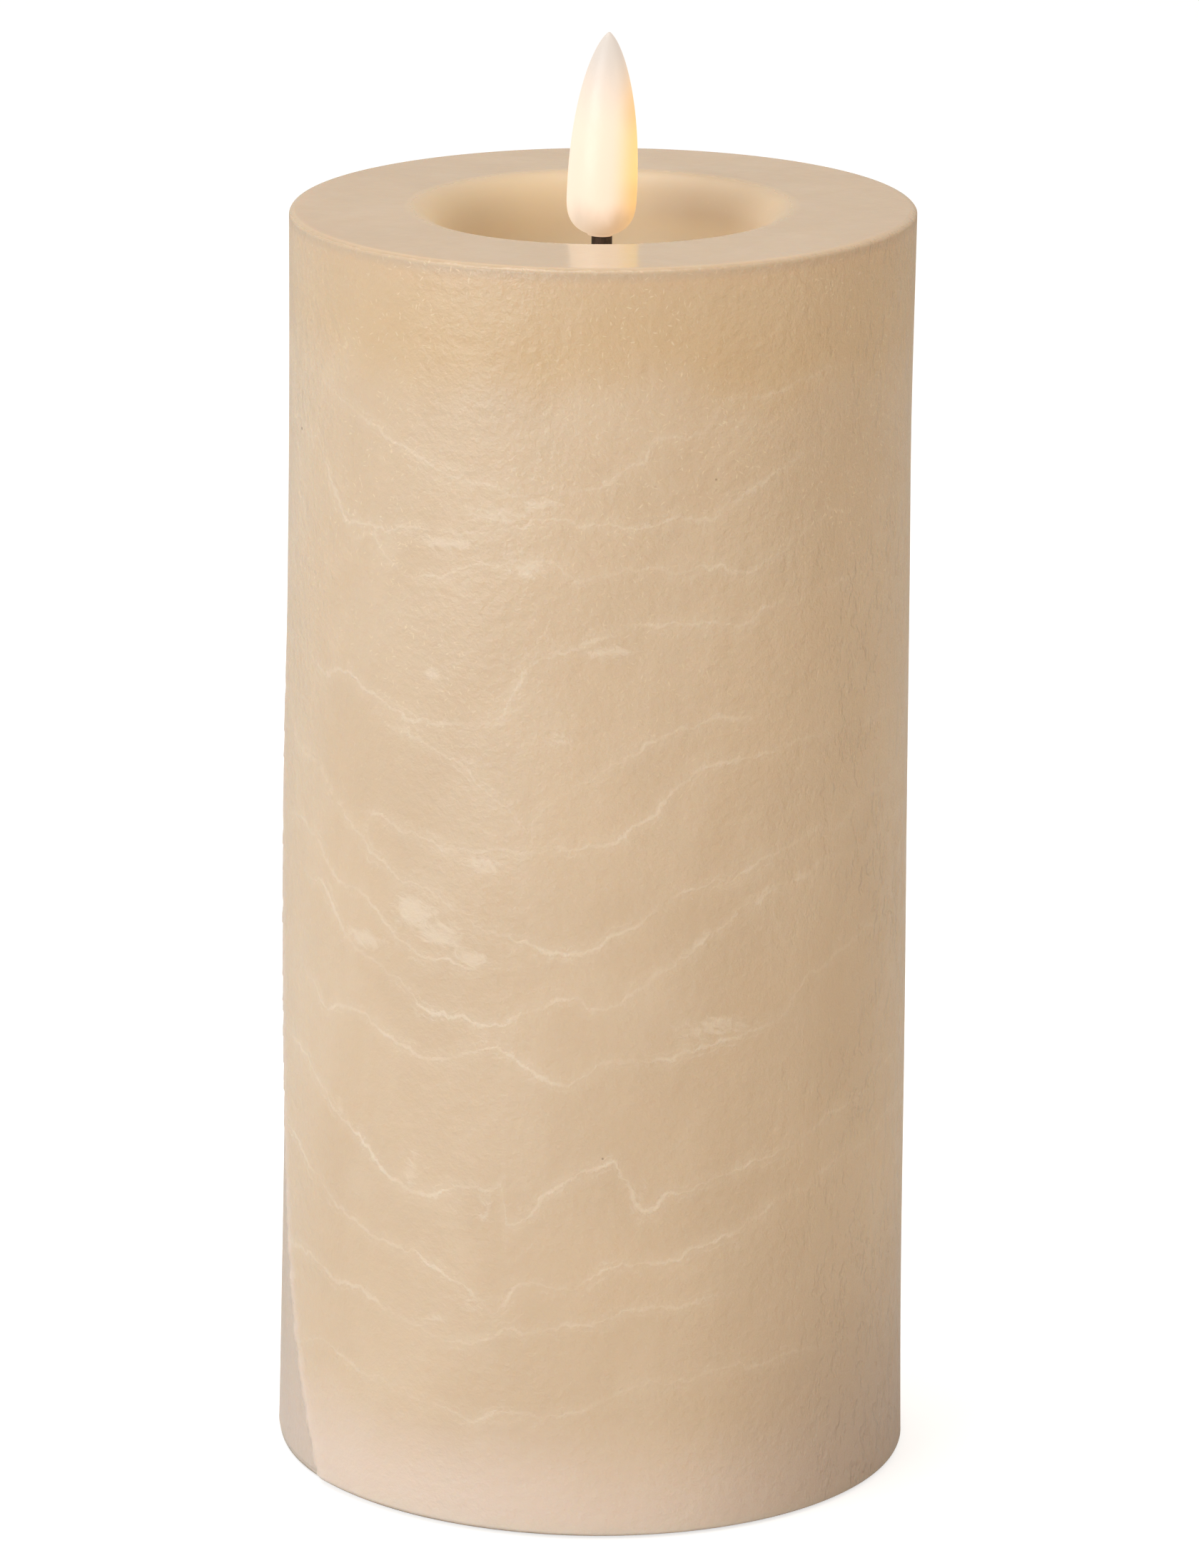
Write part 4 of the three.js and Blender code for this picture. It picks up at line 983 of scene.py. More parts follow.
def flame_material(name):
    """A lit moulding: brightest at its middle, dim at its tip and warm along its +X edge."""
    flame = settings().flame
    low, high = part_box("flame_diffuser")
    material, tree, shader, at = new_material(name)
    x, _, z = axes(tree, at)
    share = share_between(tree, z, low.z, high.z)
    rise = calc(tree, "SUBTRACT", z, low.z)
    middle = calc(tree, "MULTIPLY_ADD", rise, math.tan(flame.lean), -flame.shift)
    side = calc(tree, "DIVIDE", calc(tree, "SUBTRACT", x, middle), (high.y - low.y) / 2)

    wisp = swing(tree, stretched(tree, at, (1, 1, 2.9)), 0.35, 2.0, 0.5, 0.4)
    drift = calc(tree, "MULTIPLY_ADD", wisp, 0.14, share)
    colour = mix(tree, ease(tree, drift, 0.5, 0.97), opaque(flame.core), opaque(flame.tip))
    warm = times(tree, ease(tree, side, 0.15, 1.0), ease(tree, share, 0.98, 0.62, 0.12, 1.0))
    beside = times(tree, ease(tree, share, 0.2, 0.33), ease(tree, share, 0.64, 0.48))
    colour = mix(tree, warm, colour, mix(tree, beside, opaque(flame.edge), opaque(flame.spot)))
    foot = mix(tree, ease(tree, side, -0.9, 0.6), opaque(flame.foot_left), opaque(flame.foot_right))
    colour = mix(tree, times(tree, ease(tree, drift, 0.22, 0.04), 0.8), colour, foot)
    pale = ease(tree, side, -0.55, -1.05)
    colour = tinted(tree, colour, flame.pale_edge, pale, ease(tree, share, 0.9, 0.5), 0.4)
    rough = ease(tree, noise(tree, at, 0.5), 0.3, 0.7, 0.36, 0.5)
    feed(tree, shader, Base_Color=opaque(flame.skin), Roughness=rough)
    feed(tree, shader, Emission_Color=colour, Emission_Strength=flame.glow)
    relief(tree, shader, grain(tree, at, 2.2, 0.4), 0.02 * MM)
    return material


def wick_material(name):
    """Charred cotton: dark twisted strands."""
    material, tree, shader, at = new_material(name)
    strands = noise(tree, stretched(tree, at, (1, 1, 3.3), (0, 18, 0)), 2.4, 3.0, 0.6)
    dark, light = (0.018, 0.010, 0.006), (0.07, 0.038, 0.02)
    colour = mix(tree, ease(tree, strands, 0.3, 0.75), opaque(dark), opaque(light))
    feed(tree, shader, Base_Color=colour, Roughness=0.62)
    relief(tree, shader, strands, 0.08 * MM)
    return material


class CANDLE_OT_flame(bpy.types.Operator):
    """Build the glowing flame and the black wick that holds it up"""

    bl_idname = "candle.flame"
    bl_label = "Flame and wick"

    def execute(self, context):
        mesh = grid_mesh("flame", flame_surface(context.scene.candle.flame), closed=True)
        glow = made_once("lit diffuser", flame_material)
        piece("flame", mesh, "candle", [glow], ["flame_diffuser"])
        mesh = grid_mesh("wick", wick_surface(), closed=True)
        cotton = made_once("charred wick", wick_material)
        piece("wick", mesh, "candle", [cotton], ["wick_stem"])
        return {"FINISHED"}


# ---- Mouldings ----------------------------------------------------------------------


def moulded_plastic(name, colour, rough, fineness):
    """Spark-textured plastic with rubbed spots and a slow drift of colour."""
    material, tree, shader, at = new_material(name)
    base = drifting(tree, at, opaque(colour), 0.06, 0.12)
    worn = scratches(tree, at, 0.3, 0.12)
    lighter = tuple(min(1.0, c * 1.35 + 0.02) for c in colour)
    base = tinted(tree, base, lighter, worn, 0.45)
    patch = ease(tree, noise(tree, at, 0.12, 3.0), 0.3, 0.7, rough - 0.05, rough + 0.07)
    feed(tree, shader, Base_Color=base)
    feed(tree, shader, Roughness=calc(tree, "SUBTRACT", patch, times(tree, worn, 0.1)))
    relief(tree, shader, grain(tree, at, fineness, 0.3), 0.045 * MM)
    return material


def base_plastic(name):
    """Black plastic of the base."""
    return moulded_plastic(name, settings().base.plastic, 0.46, 1.6)


def ivory_plastic(name):
    """Ivory plastic of the core."""
    return moulded_plastic(name, settings().base.ivory, 0.42, 1.1)


def case_plastic(name):
    """Pale plastic of the battery case."""
    return moulded_plastic(name, settings().base.case, 0.5, 1.2)


def chip_plastic(name):
    """Black epoxy of the chip and the capacitor."""
    return moulded_plastic(name, (0.02, 0.02, 0.022), 0.55, 3.0)


TRACK_PITCH = 0.9 * MM


def board_material(name):
    """Green lacquer over copper tracks, with bare tinned pads."""
    material, tree, shader, at = new_material(name)
    flat = stretched(tree, at, (1, 1, 1000))
    lane = times(tree, noise(tree, flat, 0.09, 0.0), 0.012)
    lane = calc(tree, "PINGPONG", calc(tree, "ADD", lane, axes(tree, flat)[1]), TRACK_PITCH)
    track = ease(tree, lane, 0.30 * MM, 0.22 * MM)
    near, pick = spots(tree, flat, 0.42 * PER_MM)
    pad = times(tree, ease(tree, near, 0.26, 0.22), calc(tree, "LESS_THAN", pick, 0.2))
    green = mix(tree, track, (0.012, 0.085, 0.035, 1), (0.03, 0.16, 0.07, 1))
    colour = tinted(tree, drifting(tree, at, green, 0.2, 0.15), (0.62, 0.61, 0.57), pad)
    feed(tree, shader, Base_Color=colour, Metallic=times(tree, pad, 0.9))
    feed(tree, shader, Roughness=ease(tree, pad, 0.0, 1.0, 0.28, 0.4))
    relief(tree, shader, calc(tree, "MAXIMUM", track, pad), 0.05 * MM)
    return material


def phenolic_material(name):
    """Brown paper laminate with its fibres along X."""
    material, tree, shader, at = new_material(name)
    fibre = noise(tree, stretched(tree, at, (3.3, 1, 1)), 1.4, 3.0)
    dark, light = (0.20, 0.09, 0.035), (0.32, 0.16, 0.07)
    colour = mix(tree, ease(tree, fibre, 0.3, 0.7), opaque(dark), opaque(light))
    feed(tree, shader, Base_Color=colour, Roughness=0.55)
    relief(tree, shader, fibre, 0.03 * MM)
    return material


def softened(node, name, body, material, width):
    """A copy of a frame node whose flat faces are joined and whose edges are rounded."""
    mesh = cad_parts[node].data.copy()
    mesh.name = name
    mesh.materials.clear()
    work = bmesh.new()
    work.from_mesh(mesh)
    bmesh.ops.remove_doubles(work, verts=work.verts, dist=0.002 * MM)
    bmesh.ops.dissolve_limit(
        work, angle_limit=math.radians(0.6), verts=work.verts, edges=work.edges, delimit=set()
    )
    work.to_mesh(mesh)
    work.free()
    mesh.polygons.foreach_set("use_smooth", np.ones(len(mesh.polygons), bool))
    mesh.set_sharp_from_angle(angle=math.radians(32))
    made = piece(name, mesh, body, [material], [node])
    if width:
        bevel = made.modifiers.new("Edge round", "BEVEL")
        bevel.width = width
        bevel.segments = 2
        bevel.limit_method = "ANGLE"
        bevel.angle_limit = math.radians(38)
        bevel.use_clamp_overlap = True
    return made


class CANDLE_OT_mouldings(bpy.types.Operator):
    """Soften the base plate, the door, the switch, the core and the case"""

    bl_idname = "candle.mouldings"
    bl_label = "Mouldings"

    def execute(self, context):
        width = context.scene.candle.base.edge_round
        black = made_once("black moulding", base_plastic)
        ivory = made_once("ivory moulding", ivory_plastic)
        case = made_once("case moulding", case_plastic)
        board = made_once("lacquered board", board_material)
        chip = made_once("chip moulding", chip_plastic)
        jobs = (
            ("base_plate", "base_cover", "candle", black, "black_plastic"),
            ("battery_door", "door_leaf", "door", black, "black_plastic"),
            ("switch_slider", "switch_knob", "slider", black, "black_plastic"),
            ("core_housing", "core_shell", "candle", ivory, "ivory_plastic"),
            ("wick_retainer", "wick_clamp", "candle", ivory, "ivory_plastic"),
            ("battery_case", "cell_case", "candle", case, "case_plastic"),
            ("circuit_board", "lamp_board", "candle", board, "board"),
            ("controller_chip", "chip_body", "candle", chip, "black_plastic"),
        )
        for node, name, body, material, slot in jobs:
            softened(node, name, body, material, width)
        return {"FINISHED"}


# ---- Feet, screws, cells and springs -------------------------------------------------


def rubber_material(name):
    """Matt rubber with dust in its grain."""
    material, tree, shader, at = new_material(name)
    colour = drifting(tree, at, opaque(settings().base.rubber), 0.3, 0.3)
    dust = ease(tree, noise(tree, at, 0.9, 4.0, 0.7), 0.55, 0.75, 0.0, 0.35)
    feed(tree, shader, Base_Color=tinted(tree, colour, (0.12, 0.11, 0.10), dust))
    feed(tree, shader, Roughness=ease(tree, dust, 0.0, 0.35, 0.72, 0.9))
    relief(tree, shader, grain(tree, at, 2.4, 0.5), 0.05 * MM)
    return material


def metal_material(name, colour, rough, lay=(1, 1, 1)):
    """Plated metal with fine drawn lines and dull patches."""
    material, tree, shader, at = new_material(name)
    drawn = noise(tree, stretched(tree, at, lay), 2.2, 3.0, 0.6)
    dull = ease(tree, noise(tree, at, 0.3, 3.0), 0.3, 0.75, rough - 0.06, rough + 0.12)
    feed(tree, shader, Base_Color=drifting(tree, at, opaque(colour), 0.25, 0.16), Metallic=1.0)
    feed(tree, shader, Roughness=calc(tree, "MULTIPLY_ADD", drawn, 0.08, dull))
    relief(tree, shader, drawn, 0.015 * MM)
    return material


def steel(name):
    """Bright zinc plate."""
    return metal_material(name, (0.56, 0.57, 0.59), 0.26)


def nickel(name):
    """Warm nickel plate, drawn along Z."""
    return metal_material(name, (0.68, 0.65, 0.58), 0.2, (1, 1, 5))


def sleeve_material(name):
    """The cells' sleeve: dark, with a pale band near the end under a clear lacquer."""
    material, tree, shader, at = new_material(name)
    low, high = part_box("cell_nub_up")
    share = share_between(tree, axes(tree, at)[2], low.z, high.z)
    band = times(tree, ease(tree, share, 0.70, 0.703), ease(tree, share, 0.77, 0.767))
    colour = tinted(tree, opaque(settings().base.sleeve), (0.55, 0.50, 0.40), band)
    colour = drifting(tree, at, colour, 0.1, 0.1)
    colour = tinted(tree, colour, (0.4, 0.4, 0.42), scratches(tree, at, 0.22, 0.15), 0.3)
    feed(tree, shader, Base_Color=colour, Metallic=0.35, Coat_Weight=0.4, Coat_Roughness=0.15)
    feed(tree, shader, Roughness=ease(tree, noise(tree, at, 0.3), 0.3, 0.7, 0.26, 0.36))
    return material


def foot_surface(node, rings):
    """A turned pad: a sole with ring grooves, where cos(2 pi rings r / radius) is high."""
    centre, low, high, radius = centre_of(node)
    edge, middle = 0.45 * MM, 0.05 * MM
    r = np.linspace(middle, radius - 0.5 * MM, 70)
    groove = 0.12 * MM * smooth_step(np.cos(2 * math.pi * rings * r / radius), 0.55, 0.95)
    profile = (
        np.stack([r, low + groove * (r > 0.5 * MM)], axis=1),
        arc(radius - edge, low + edge, edge, -85, 0, 8),
        stretch(radius, low + 0.7 * MM, radius, high - 0.1 * MM, 3),
        stretch(radius - 0.1 * MM, high, middle, high, 3),
    )
    return revolve(np.vstack(profile), 72) + centre


class CANDLE_OT_feet(bpy.types.Operator):
    """Build the four rubber feet with ring grooves underneath"""

    bl_idname = "candle.feet"
    bl_label = "Rubber feet"

    def execute(self, context):
        rings = context.scene.candle.base.foot_rings
        rubber = made_once("matt rubber", rubber_material)
        for k in range(4):
            node = f"rubber_foot_{k + 1}"
            name = f"foot_pad_{k + 1}"
            mesh = grid_mesh(name, foot_surface(node, rings))
            piece(name, mesh, "candle", [rubber], [node])
        return {"FINISHED"}


def screw_surface(node, down):
    """A pan head with a cross recess, over a shank with a helical thread.

    Every size is a share of the head's radius. The recess is as deep as the smaller distance
    to the arms' sides allows; the thread adds cos(2 pi height / pitch - angle) to the shank.
    """
    centre, low, high, head = centre_of(node)
    tall = high - low
    thick, shank, rounding = 0.56 * head, 0.48 * head, 0.14 * head
    arm, bar, soft = 0.62 * head, 0.12 * head, 0.05 * head
    pitch = 0.42 * head
    face, thread = 40, 70
    profile = [
        stretch(0.02 * head, 0.0, 0.86 * head, 0.0, face),
        arc(0.86 * head, rounding, rounding, -85, 0, 7),
        stretch(head, thick, shank * 1.02, thick, 5),
    ]
    start = sum(len(part) for part in profile)
    profile.append(stretch(shank, thick + 0.1 * head, shank, tall - shank * 1.1, thread))
    profile.append(stretch(shank * 0.9, tall - shank, 0.06 * head, tall, 8))
    grid = revolve(np.vstack(profile), 64)

    def arm_mask(along, across):
        inside = smooth_step(arm - np.abs(along), 0, 2 * soft)
        return inside * smooth_step(bar - np.abs(across), -soft, soft)

    x, y = grid[:face, :, 0], grid[:face, :, 1]
    recess = np.maximum(arm_mask(x, y), arm_mask(y, x))
    grid[:face, :, 2] += 0.34 * head * recess + 0.1 * head * ((x**2 + y**2) / head**2)
    turns = grid[start : start + thread]
    angle = np.arctan2(turns[..., 0], -turns[..., 1])
    wave = np.cos(2 * math.pi * turns[..., 2] / pitch - angle)
    turns[..., :2] *= (1 + 0.12 * wave)[..., None]
    grid[..., 2] = high - grid[..., 2] if down else low + grid[..., 2]
    return grid + centre


class CANDLE_OT_screws(bpy.types.Operator):
    """Build the base and board screws with their cross recesses and threads"""

    bl_idname = "candle.screws"
    bl_label = "Screws"

    def execute(self, context):
        metal = made_once("zinc-plated steel", steel)
        for group_name, count, down in (("base", 3, False), ("board", 2, True)):
            for k in range(count):
                node = f"{group_name}_screw_{k + 1}"
                name = f"{group_name}_fixing_{k + 1}"
                mesh = grid_mesh(name, screw_surface(node, down))
                piece(name, mesh, "candle", [metal], [node])
        return {"FINISHED"}


CELL_NUB = 2.7 * MM
CELL_NUB_HEIGHT = 1.2 * MM


def cell_surface(node, nub_up):
    """A cell's turned profile from its flat end to its nub, and the row each material ends at."""
    centre, low, high, radius = centre_of(node)
    tall, nub = high - low, CELL_NUB
    shoulder = tall - CELL_NUB_HEIGHT
    parts = (
        stretch(0.1 * MM, 0.15 * MM, radius - 2.6 * MM, 0.15 * MM, 4),
        stretch(radius - 2.2 * MM, 0.0, radius - 1.0 * MM, 0.0, 4),
        arc(radius - 0.7 * MM, 0.7 * MM, 0.7 * MM, -85, 0, 6),
        stretch(radius - 0.05 * MM, 1.0 * MM, radius, 1.3 * MM, 2),
        stretch(radius, 1.6 * MM, radius, shoulder - 1.2 * MM, 12),
        arc(radius - 0.8 * MM, shoulder - 0.8 * MM, 0.8 * MM, 10, 90, 6),
        stretch(radius - 1.6 * MM, shoulder - 0.25 * MM, nub + 1.0 * MM, shoulder - 0.25 * MM, 4),
        stretch(nub + 0.15 * MM, shoulder - 0.2 * MM, nub, shoulder + 0.15 * MM, 2),
        stretch(nub, shoulder + 0.3 * MM, nub, tall - 0.3 * MM, 3),
        arc(nub - 0.3 * MM, tall - 0.3 * MM, 0.3 * MM, 15, 90, 4),
        stretch(nub - 0.6 * MM, tall, 0.1 * MM, tall, 3),
    )
    profile = np.vstack(parts)
    ends = np.cumsum([len(p) for p in parts])
    if nub_up:
        profile[:, 1] += low
    else:
        profile[:, 1] = high - profile[:, 1]
    return revolve(profile, 72) + centre, (ends[2], ends[5], ends[6])


class CANDLE_OT_cells(bpy.types.Operator):
    """Build the two cells with steel ends and a printed sleeve"""

    bl_idname = "candle.cells"
    bl_label = "Cells"

    def execute(self, context):
        materials = [
            made_once("nickel plate", nickel),
            made_once("cell sleeve", sleeve_material),
            made_once("case moulding", case_plastic),
        ]
        for node, name, nub_up in (
            ("cell_nub_up", "cell_left", True),
            ("cell_nub_down", "cell_right", False),
        ):
            grid, (sleeve, washer, metal) = cell_surface(node, nub_up)
            mesh = grid_mesh(name, grid)
            columns = grid.shape[1]
            row = np.arange(len(mesh.polygons)) // columns
            kind = np.where((row >= sleeve) & (row < washer), 1, 0)
            kind = np.where((row >= washer) & (row < metal), 2, kind)
            kind[row >= len(grid) - 1] = 0
            mesh.polygons.foreach_set("material_index", kind.astype(np.int32))
            piece(name, mesh, "candle", materials, [node])
        return {"FINISHED"}


SPRING_WIRE = 0.35 * MM
SPRING_WIDE = 4.1 * MM
SPRING_NARROW = 2.5 * MM
SPRING_TURNS = 3.5
CELL_OFFSET = 8 * MM


def spring_path(node, wide_low):
    """A cone of wire under one cell: the radius runs from wide to narrow, with flat end turns."""
    centre, low, high, _ = centre_of(node)
    t = np.linspace(0, 1, 260)
    radius = SPRING_WIDE + (SPRING_NARROW - SPRING_WIDE) * t
    a = 2 * math.pi * SPRING_TURNS * t
    rise = smooth_step(t, 0.12, 0.88) * 0.65 + 0.35 * t
    z = rise * (high - low - 2 * SPRING_WIRE)
    z = low + SPRING_WIRE + z if wide_low else high - SPRING_WIRE - z
    centre = np.array([math.copysign(CELL_OFFSET, centre[0]), 0.0, 0.0])
    return np.stack([radius * np.cos(a), radius * np.sin(a), z], axis=1) + centre


class CANDLE_OT_springs(bpy.types.Operator):
    """Build the cone springs on the door and under the case's roof"""

    bl_idname = "candle.springs"
    bl_label = "Springs"

    def execute(self, context):
        plate = made_once("nickel plate", nickel)
        for node, name, body, wide_low in (
            ("door_spring", "door_coil", "door", True),
            ("case_spring", "bay_coil", "candle", False),
        ):
            mesh = grid_mesh(name, sweep(spring_path(node, wide_low), SPRING_WIRE, 14))
            piece(name, mesh, body, [plate], [node])
        return {"FINISHED"}


# ---- Wires and small fittings ----------------------------------------------------------


def wire_material(name, colour):
    """Soft coloured sleeve over a wire."""
    material, tree, shader, at = new_material(name)
    feed(tree, shader, Base_Color=drifting(tree, at, opaque(colour), 0.2, 0.2))
    feed(tree, shader, Roughness=ease(tree, noise(tree, at, 0.6), 0.3, 0.7, 0.32, 0.45))
    relief(tree, shader, grain(tree, at, 3.0, 0.6), 0.02 * MM)
    return material


def red_wire(name):
    """Red wire sleeve."""
    return wire_material(name, (0.42, 0.018, 0.012))


def black_wire(name):
    """Black wire sleeve."""
    return wire_material(name, (0.018, 0.018, 0.018))


def lens_material(name):
    """Milky resin of a warm lamp, lit from inside."""
    material, tree, shader, at = new_material(name)
    low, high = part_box("lamp_led")
    glow = ease(tree, axes(tree, at)[2], low.z, high.z)
    lit = mix(tree, glow, (1.0, 0.62, 0.25, 1), (1.0, 0.84, 0.55, 1))
    resin = mix(tree, noise(tree, at, 0.8), (0.9, 0.75, 0.45, 1), (1, 0.9, 0.7, 1))
    feed(tree, shader, Base_Color=resin, Roughness=0.12, Emission_Color=lit, Emission_Strength=2.0)
    return material


# The resistor's rings: where each lies along it, as a share, and its colour.
RESISTOR_RINGS = (
    (0.2, (0.35, 0.02, 0.02)),
    (0.36, (0.02, 0.02, 0.02)),
    (0.52, (0.22, 0.08, 0.02)),
    (0.78, (0.5, 0.34, 0.06)),
)


def resistor_material(name):
    """Lacquered ceramic with four plain colour rings."""
    material, tree, shader, at = new_material(name)
    low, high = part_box("lamp_resistor")
    share = share_between(tree, axes(tree, at)[0], low.x, high.x)
    colour = drifting(tree, at, (0.48, 0.34, 0.18, 1), 0.5, 0.1)
    for middle, ring in RESISTOR_RINGS:
        away = calc(tree, "ABSOLUTE", calc(tree, "SUBTRACT", share, middle))
        colour = tinted(tree, colour, ring, ease(tree, away, 0.05, 0.04))
    feed(tree, shader, Base_Color=colour, Roughness=0.3)
    relief(tree, shader, grain(tree, at, 2.0, 0.5), 0.02 * MM)
    return material


class CANDLE_OT_fittings(bpy.types.Operator):
    """Finish the wires, contacts, switch case and the parts on the circuit board"""

    bl_idname = "candle.fittings"
    bl_label = "Wires and fittings"

    def execute(self, context):
        metal = made_once("zinc-plated steel", steel)
        plate = made_once("nickel plate", nickel)
        red = made_once("red wire sleeve", red_wire)
        black = made_once("black wire sleeve", black_wire)
        chip = made_once("chip moulding", chip_plastic)
        phenolic = made_once("phenolic board", phenolic_material)
        lens = made_once("warm lamp resin", lens_material)
        lacquer = made_once("resistor lacquer", resistor_material)
        jobs = (
            ("door_contact", "door_bridge", "door", plate, "nickel", 0.05 * MM),
            ("contact_positive", "positive_leaf", "candle", plate, "nickel", 0.05 * MM),
            ("contact_negative", "negative_leaf", "candle", plate, "nickel", 0.05 * MM),
            ("switch_case", "switch_can", "candle", metal, "steel", 0.05 * MM),
            ("switch_board", "switch_wafer", "candle", phenolic, "phenolic", 0.04 * MM),
            ("timer_crystal", "crystal_can", "candle", metal, "steel", 0.15 * MM),
            ("filter_capacitor", "capacitor_can", "candle", chip, "black_plastic", 0.25 * MM),
            ("lamp_resistor", "resistor_body", "candle", lacquer, "resistor_body", 0.25 * MM),
            ("lamp_led", "lamp_lens", "candle", lens, "lens", 0.0),
            ("lead_positive", "lamp_leg_1", "candle", plate, "steel", 0.0),
            ("lead_negative", "lamp_leg_2", "candle", plate, "steel", 0.0),
            ("lamp_wire_red", "lamp_lead_red", "candle", red, "red_wire", 0.0),
            ("lamp_wire_black", "lamp_lead_black", "candle", black, "black_wire", 0.0),
            ("switch_wire_1", "switch_lead_1", "candle", black, "black_wire", 0.0),
            ("switch_wire_2", "switch_lead_2", "candle", red, "red_wire", 0.0),
        )
        for node, name, body, material, slot, width in jobs:
            softened(node, name, body, material, width)
        return {"FINISHED"}


# ---- Stage -------------------------------------------------------------------------------


FLOOR_HALF = 6.0
LIGHT_AIM = (0, 0, 0.09)
# Each softbox: its name, which is also its setting, where it hangs, its size and its colour.
SOFTBOXES = (
    ("key", (-0.66, -0.66, 0.35), 0.7, (0.91, 0.965, 1.0)),
    ("fill", (0.8, -0.55, 0.30), 0.6, (1.0, 0.82, 0.55)),
    ("top", (-0.15, 0.15, 0.85), 0.5, (1.0, 0.97, 0.94)),
)


def floor_material(name):
    """A pale sweep, lifted to white for the camera only, and clear when seen from below."""
    material, tree, shader, at = new_material(name)
    shade = noise(tree, at, 0.003)
    seen = put(tree, "ShaderNodeLightPath").outputs["Is Camera Ray"]
    below = put(tree, "ShaderNodeNewGeometry").outputs["Backfacing"]
    grey = mix(tree, shade, (0.60, 0.60, 0.60, 1), (0.63, 0.63, 0.63, 1))
    feed(tree, shader, Base_Color=grey, Roughness=0.7, Specular_IOR_Level=0.2)
    feed(tree, shader, Alpha=calc(tree, "SUBTRACT", 1.0, below))
    feed(tree, shader, Emission_Color=(1, 1, 1, 1), Emission_Strength=times(tree, seen, 0.66))
    return material


def softbox(name, place, size, power, colour):
    """A square area light at a place, facing the candle."""
    data = bpy.data.lights.new(name, "AREA")
    data.energy = power
    data.size = size
    data.color = colour
    light = bpy.data.objects.new(name, data)
    light.location = place
    facing = Vector(LIGHT_AIM) - Vector(place)
    light.rotation_euler = facing.to_track_quat("-Z", "Y").to_euler()
    bpy.context.scene.collection.objects.link(light)


def add_camera(stage):
    """Looks at the target from the front, raised and rolled by the stage's angles."""
    el, roll = stage.elevation, stage.roll
    back = Vector((0, -math.cos(el), math.sin(el)))
    up = Vector((0, math.sin(el), math.cos(el)))
    across = Vector((1, 0, 0))
    right = math.cos(roll) * across + math.sin(roll) * up
    over = math.cos(roll) * up - math.sin(roll) * across
    target = Vector((stage.target_side, 0, stage.target_height))
    data = bpy.data.cameras.new("camera")
    data.lens = stage.lens
    data.clip_start = 0.05
    camera = bpy.data.objects.new("camera", data)
    turned = Matrix((right, over, back)).transposed().to_4x4()
    camera.matrix_world = Matrix.Translation(target + back * stage.distance) @ turned
    bpy.context.scene.collection.objects.link(camera)
    bpy.context.scene.camera = camera


def set_world(ambient):
    """An even white surround: full white to the camera, softer as light."""
    world = bpy.data.worlds.new("surround")
    world.use_nodes = True
    tree = world.node_tree
    tree.nodes.clear()
    seen = put(tree, "ShaderNodeLightPath").outputs["Is Camera Ray"]
    strength = calc(tree, "MULTIPLY_ADD", seen, 1.0 - ambient, ambient)
    warm = mix(tree, seen, (1.0, 0.94, 0.86, 1), (1, 1, 1, 1))
    background = put(tree, "ShaderNodeBackground", {0: warm, 1: strength})
    out = put(tree, "ShaderNodeOutputWorld")
    tree.links.new(background.outputs[0], out.inputs[0])
    bpy.context.scene.world = world


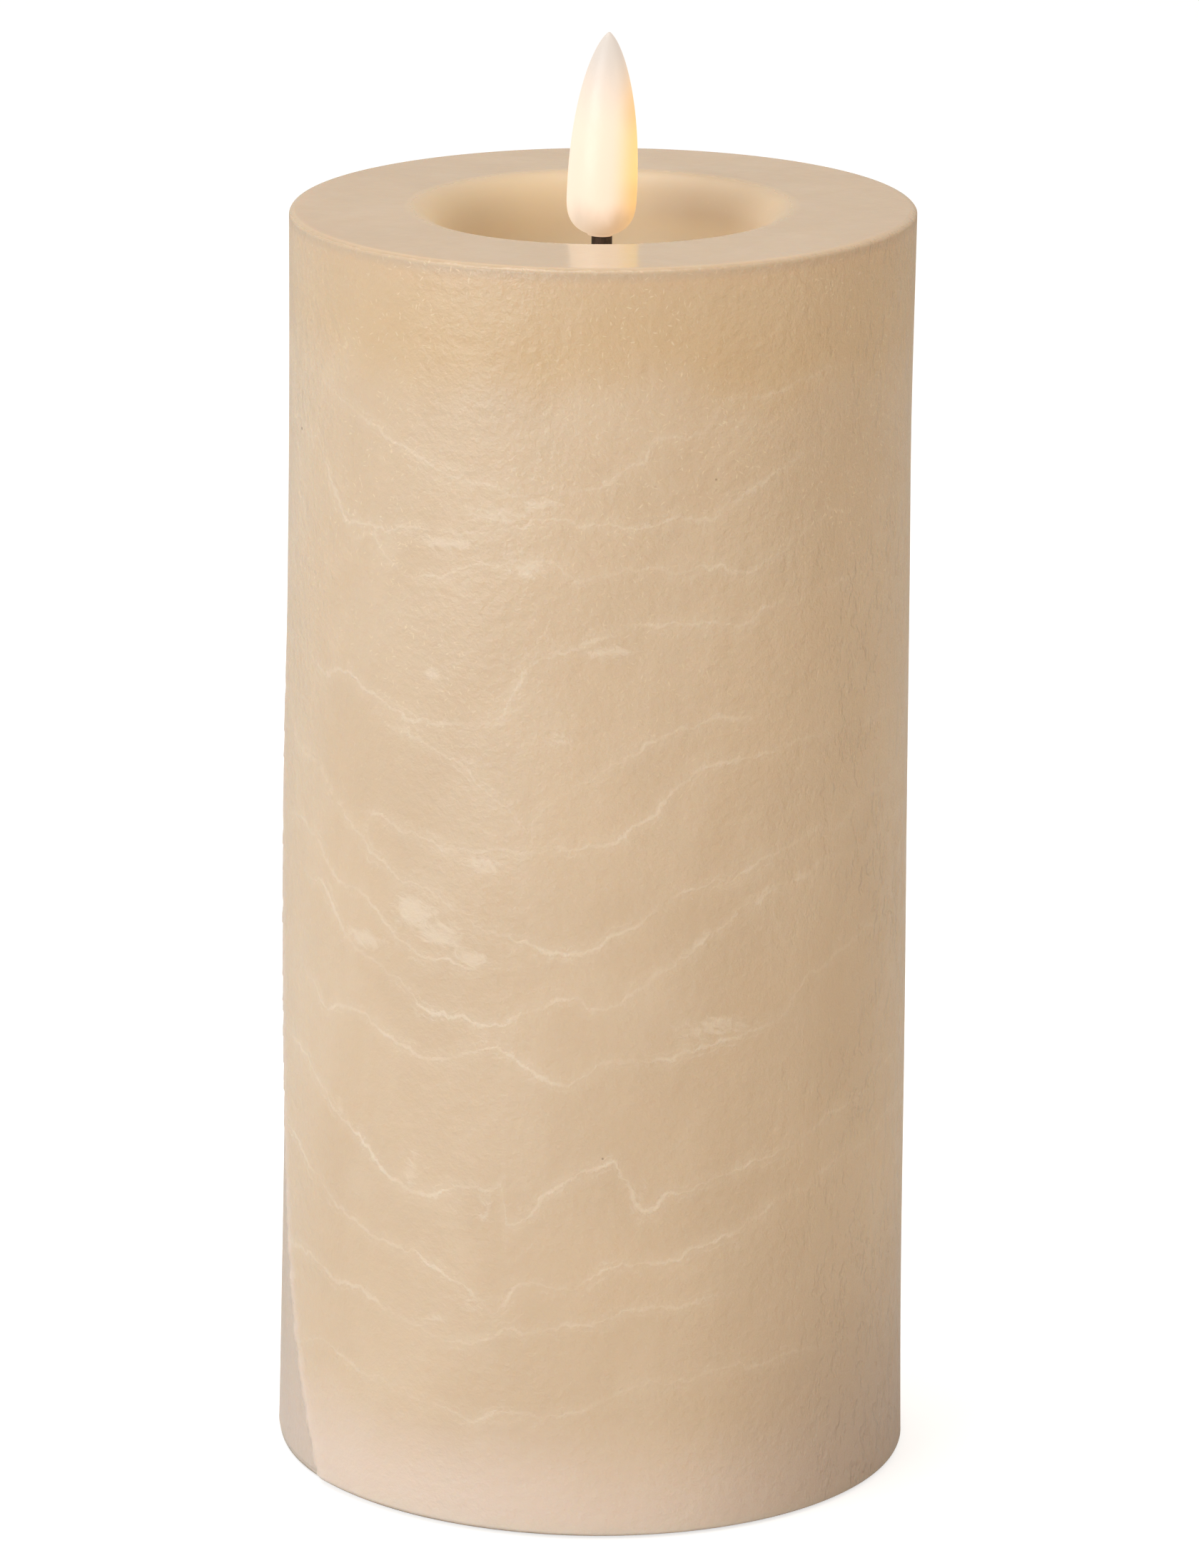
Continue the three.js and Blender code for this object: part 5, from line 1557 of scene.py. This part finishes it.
class CANDLE_OT_stage(bpy.types.Operator):
    """Lay the floor, hang the softboxes and stand the camera"""

    bl_idname = "candle.stage"
    bl_label = "Stage"

    def execute(self, context):
        stage = context.scene.candle.stage
        half = FLOOR_HALF
        corners = [(-half, -half, 0), (half, -half, 0), (half, half, 0), (-half, half, 0)]
        mesh = bpy.data.meshes.new("floor")
        mesh.from_pydata(corners, [], [(0, 1, 2, 3)])
        mesh.materials.append(made_once("pale floor", floor_material))
        floor = bpy.data.objects.new("floor", mesh)
        context.scene.collection.objects.link(floor)

        for name, place, size, colour in SOFTBOXES:
            softbox(name, place, size, getattr(stage, name), colour)
        add_camera(stage)
        set_world(stage.ambient)
        context.scene.view_settings.view_transform = "Standard"
        return {"FINISHED"}


# ---- Add-on ----------------------------------------------------------------------------------


class CandleSettings(bpy.types.PropertyGroup):
    """Everything about the candle that can be changed."""

    wax: PointerProperty(name="Wax", description="Wax body", type=CandleWaxSettings)
    flame: PointerProperty(name="Flame", description="Flame and wick", type=CandleFlameSettings)
    base: PointerProperty(name="Base", description="Base and works", type=CandleBaseSettings)
    stage: PointerProperty(name="Stage", description="Camera and lights", type=CandleStageSettings)


OPERATORS = (
    CANDLE_OT_wax_body,
    CANDLE_OT_flame,
    CANDLE_OT_mouldings,
    CANDLE_OT_feet,
    CANDLE_OT_screws,
    CANDLE_OT_cells,
    CANDLE_OT_springs,
    CANDLE_OT_fittings,
    CANDLE_OT_stage,
)


class CANDLE_PT_sidebar(bpy.types.Panel):
    """Lists the candle's operators and settings."""

    bl_idname = "CANDLE_PT_sidebar"
    bl_label = "Pillar candle"
    bl_space_type = "VIEW_3D"
    bl_region_type = "UI"
    bl_category = "Candle"

    def draw(self, context):
        for operator in OPERATORS:
            self.layout.operator(operator.bl_idname)
        candle = context.scene.candle
        for part in (candle.wax, candle.flame, candle.base, candle.stage):
            box = self.layout.box()
            for name in part.__annotations__:
                box.prop(part, name)


CLASSES = (
    CandleWaxSettings,
    CandleFlameSettings,
    CandleBaseSettings,
    CandleStageSettings,
    CandleSettings,
    *OPERATORS,
    CANDLE_PT_sidebar,
)


def register():
    for made in CLASSES:
        bpy.utils.register_class(made)
    bpy.types.Scene.candle = PointerProperty(type=CandleSettings)


def unregister():
    del bpy.types.Scene.candle
    for made in reversed(CLASSES):
        bpy.utils.unregister_class(made)


def main():
    """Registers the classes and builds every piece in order."""
    register()
    for operator in OPERATORS:
        family, name = operator.bl_idname.split(".")
        getattr(getattr(bpy.ops, family), name)()


if __name__ == "__main__":
    main()
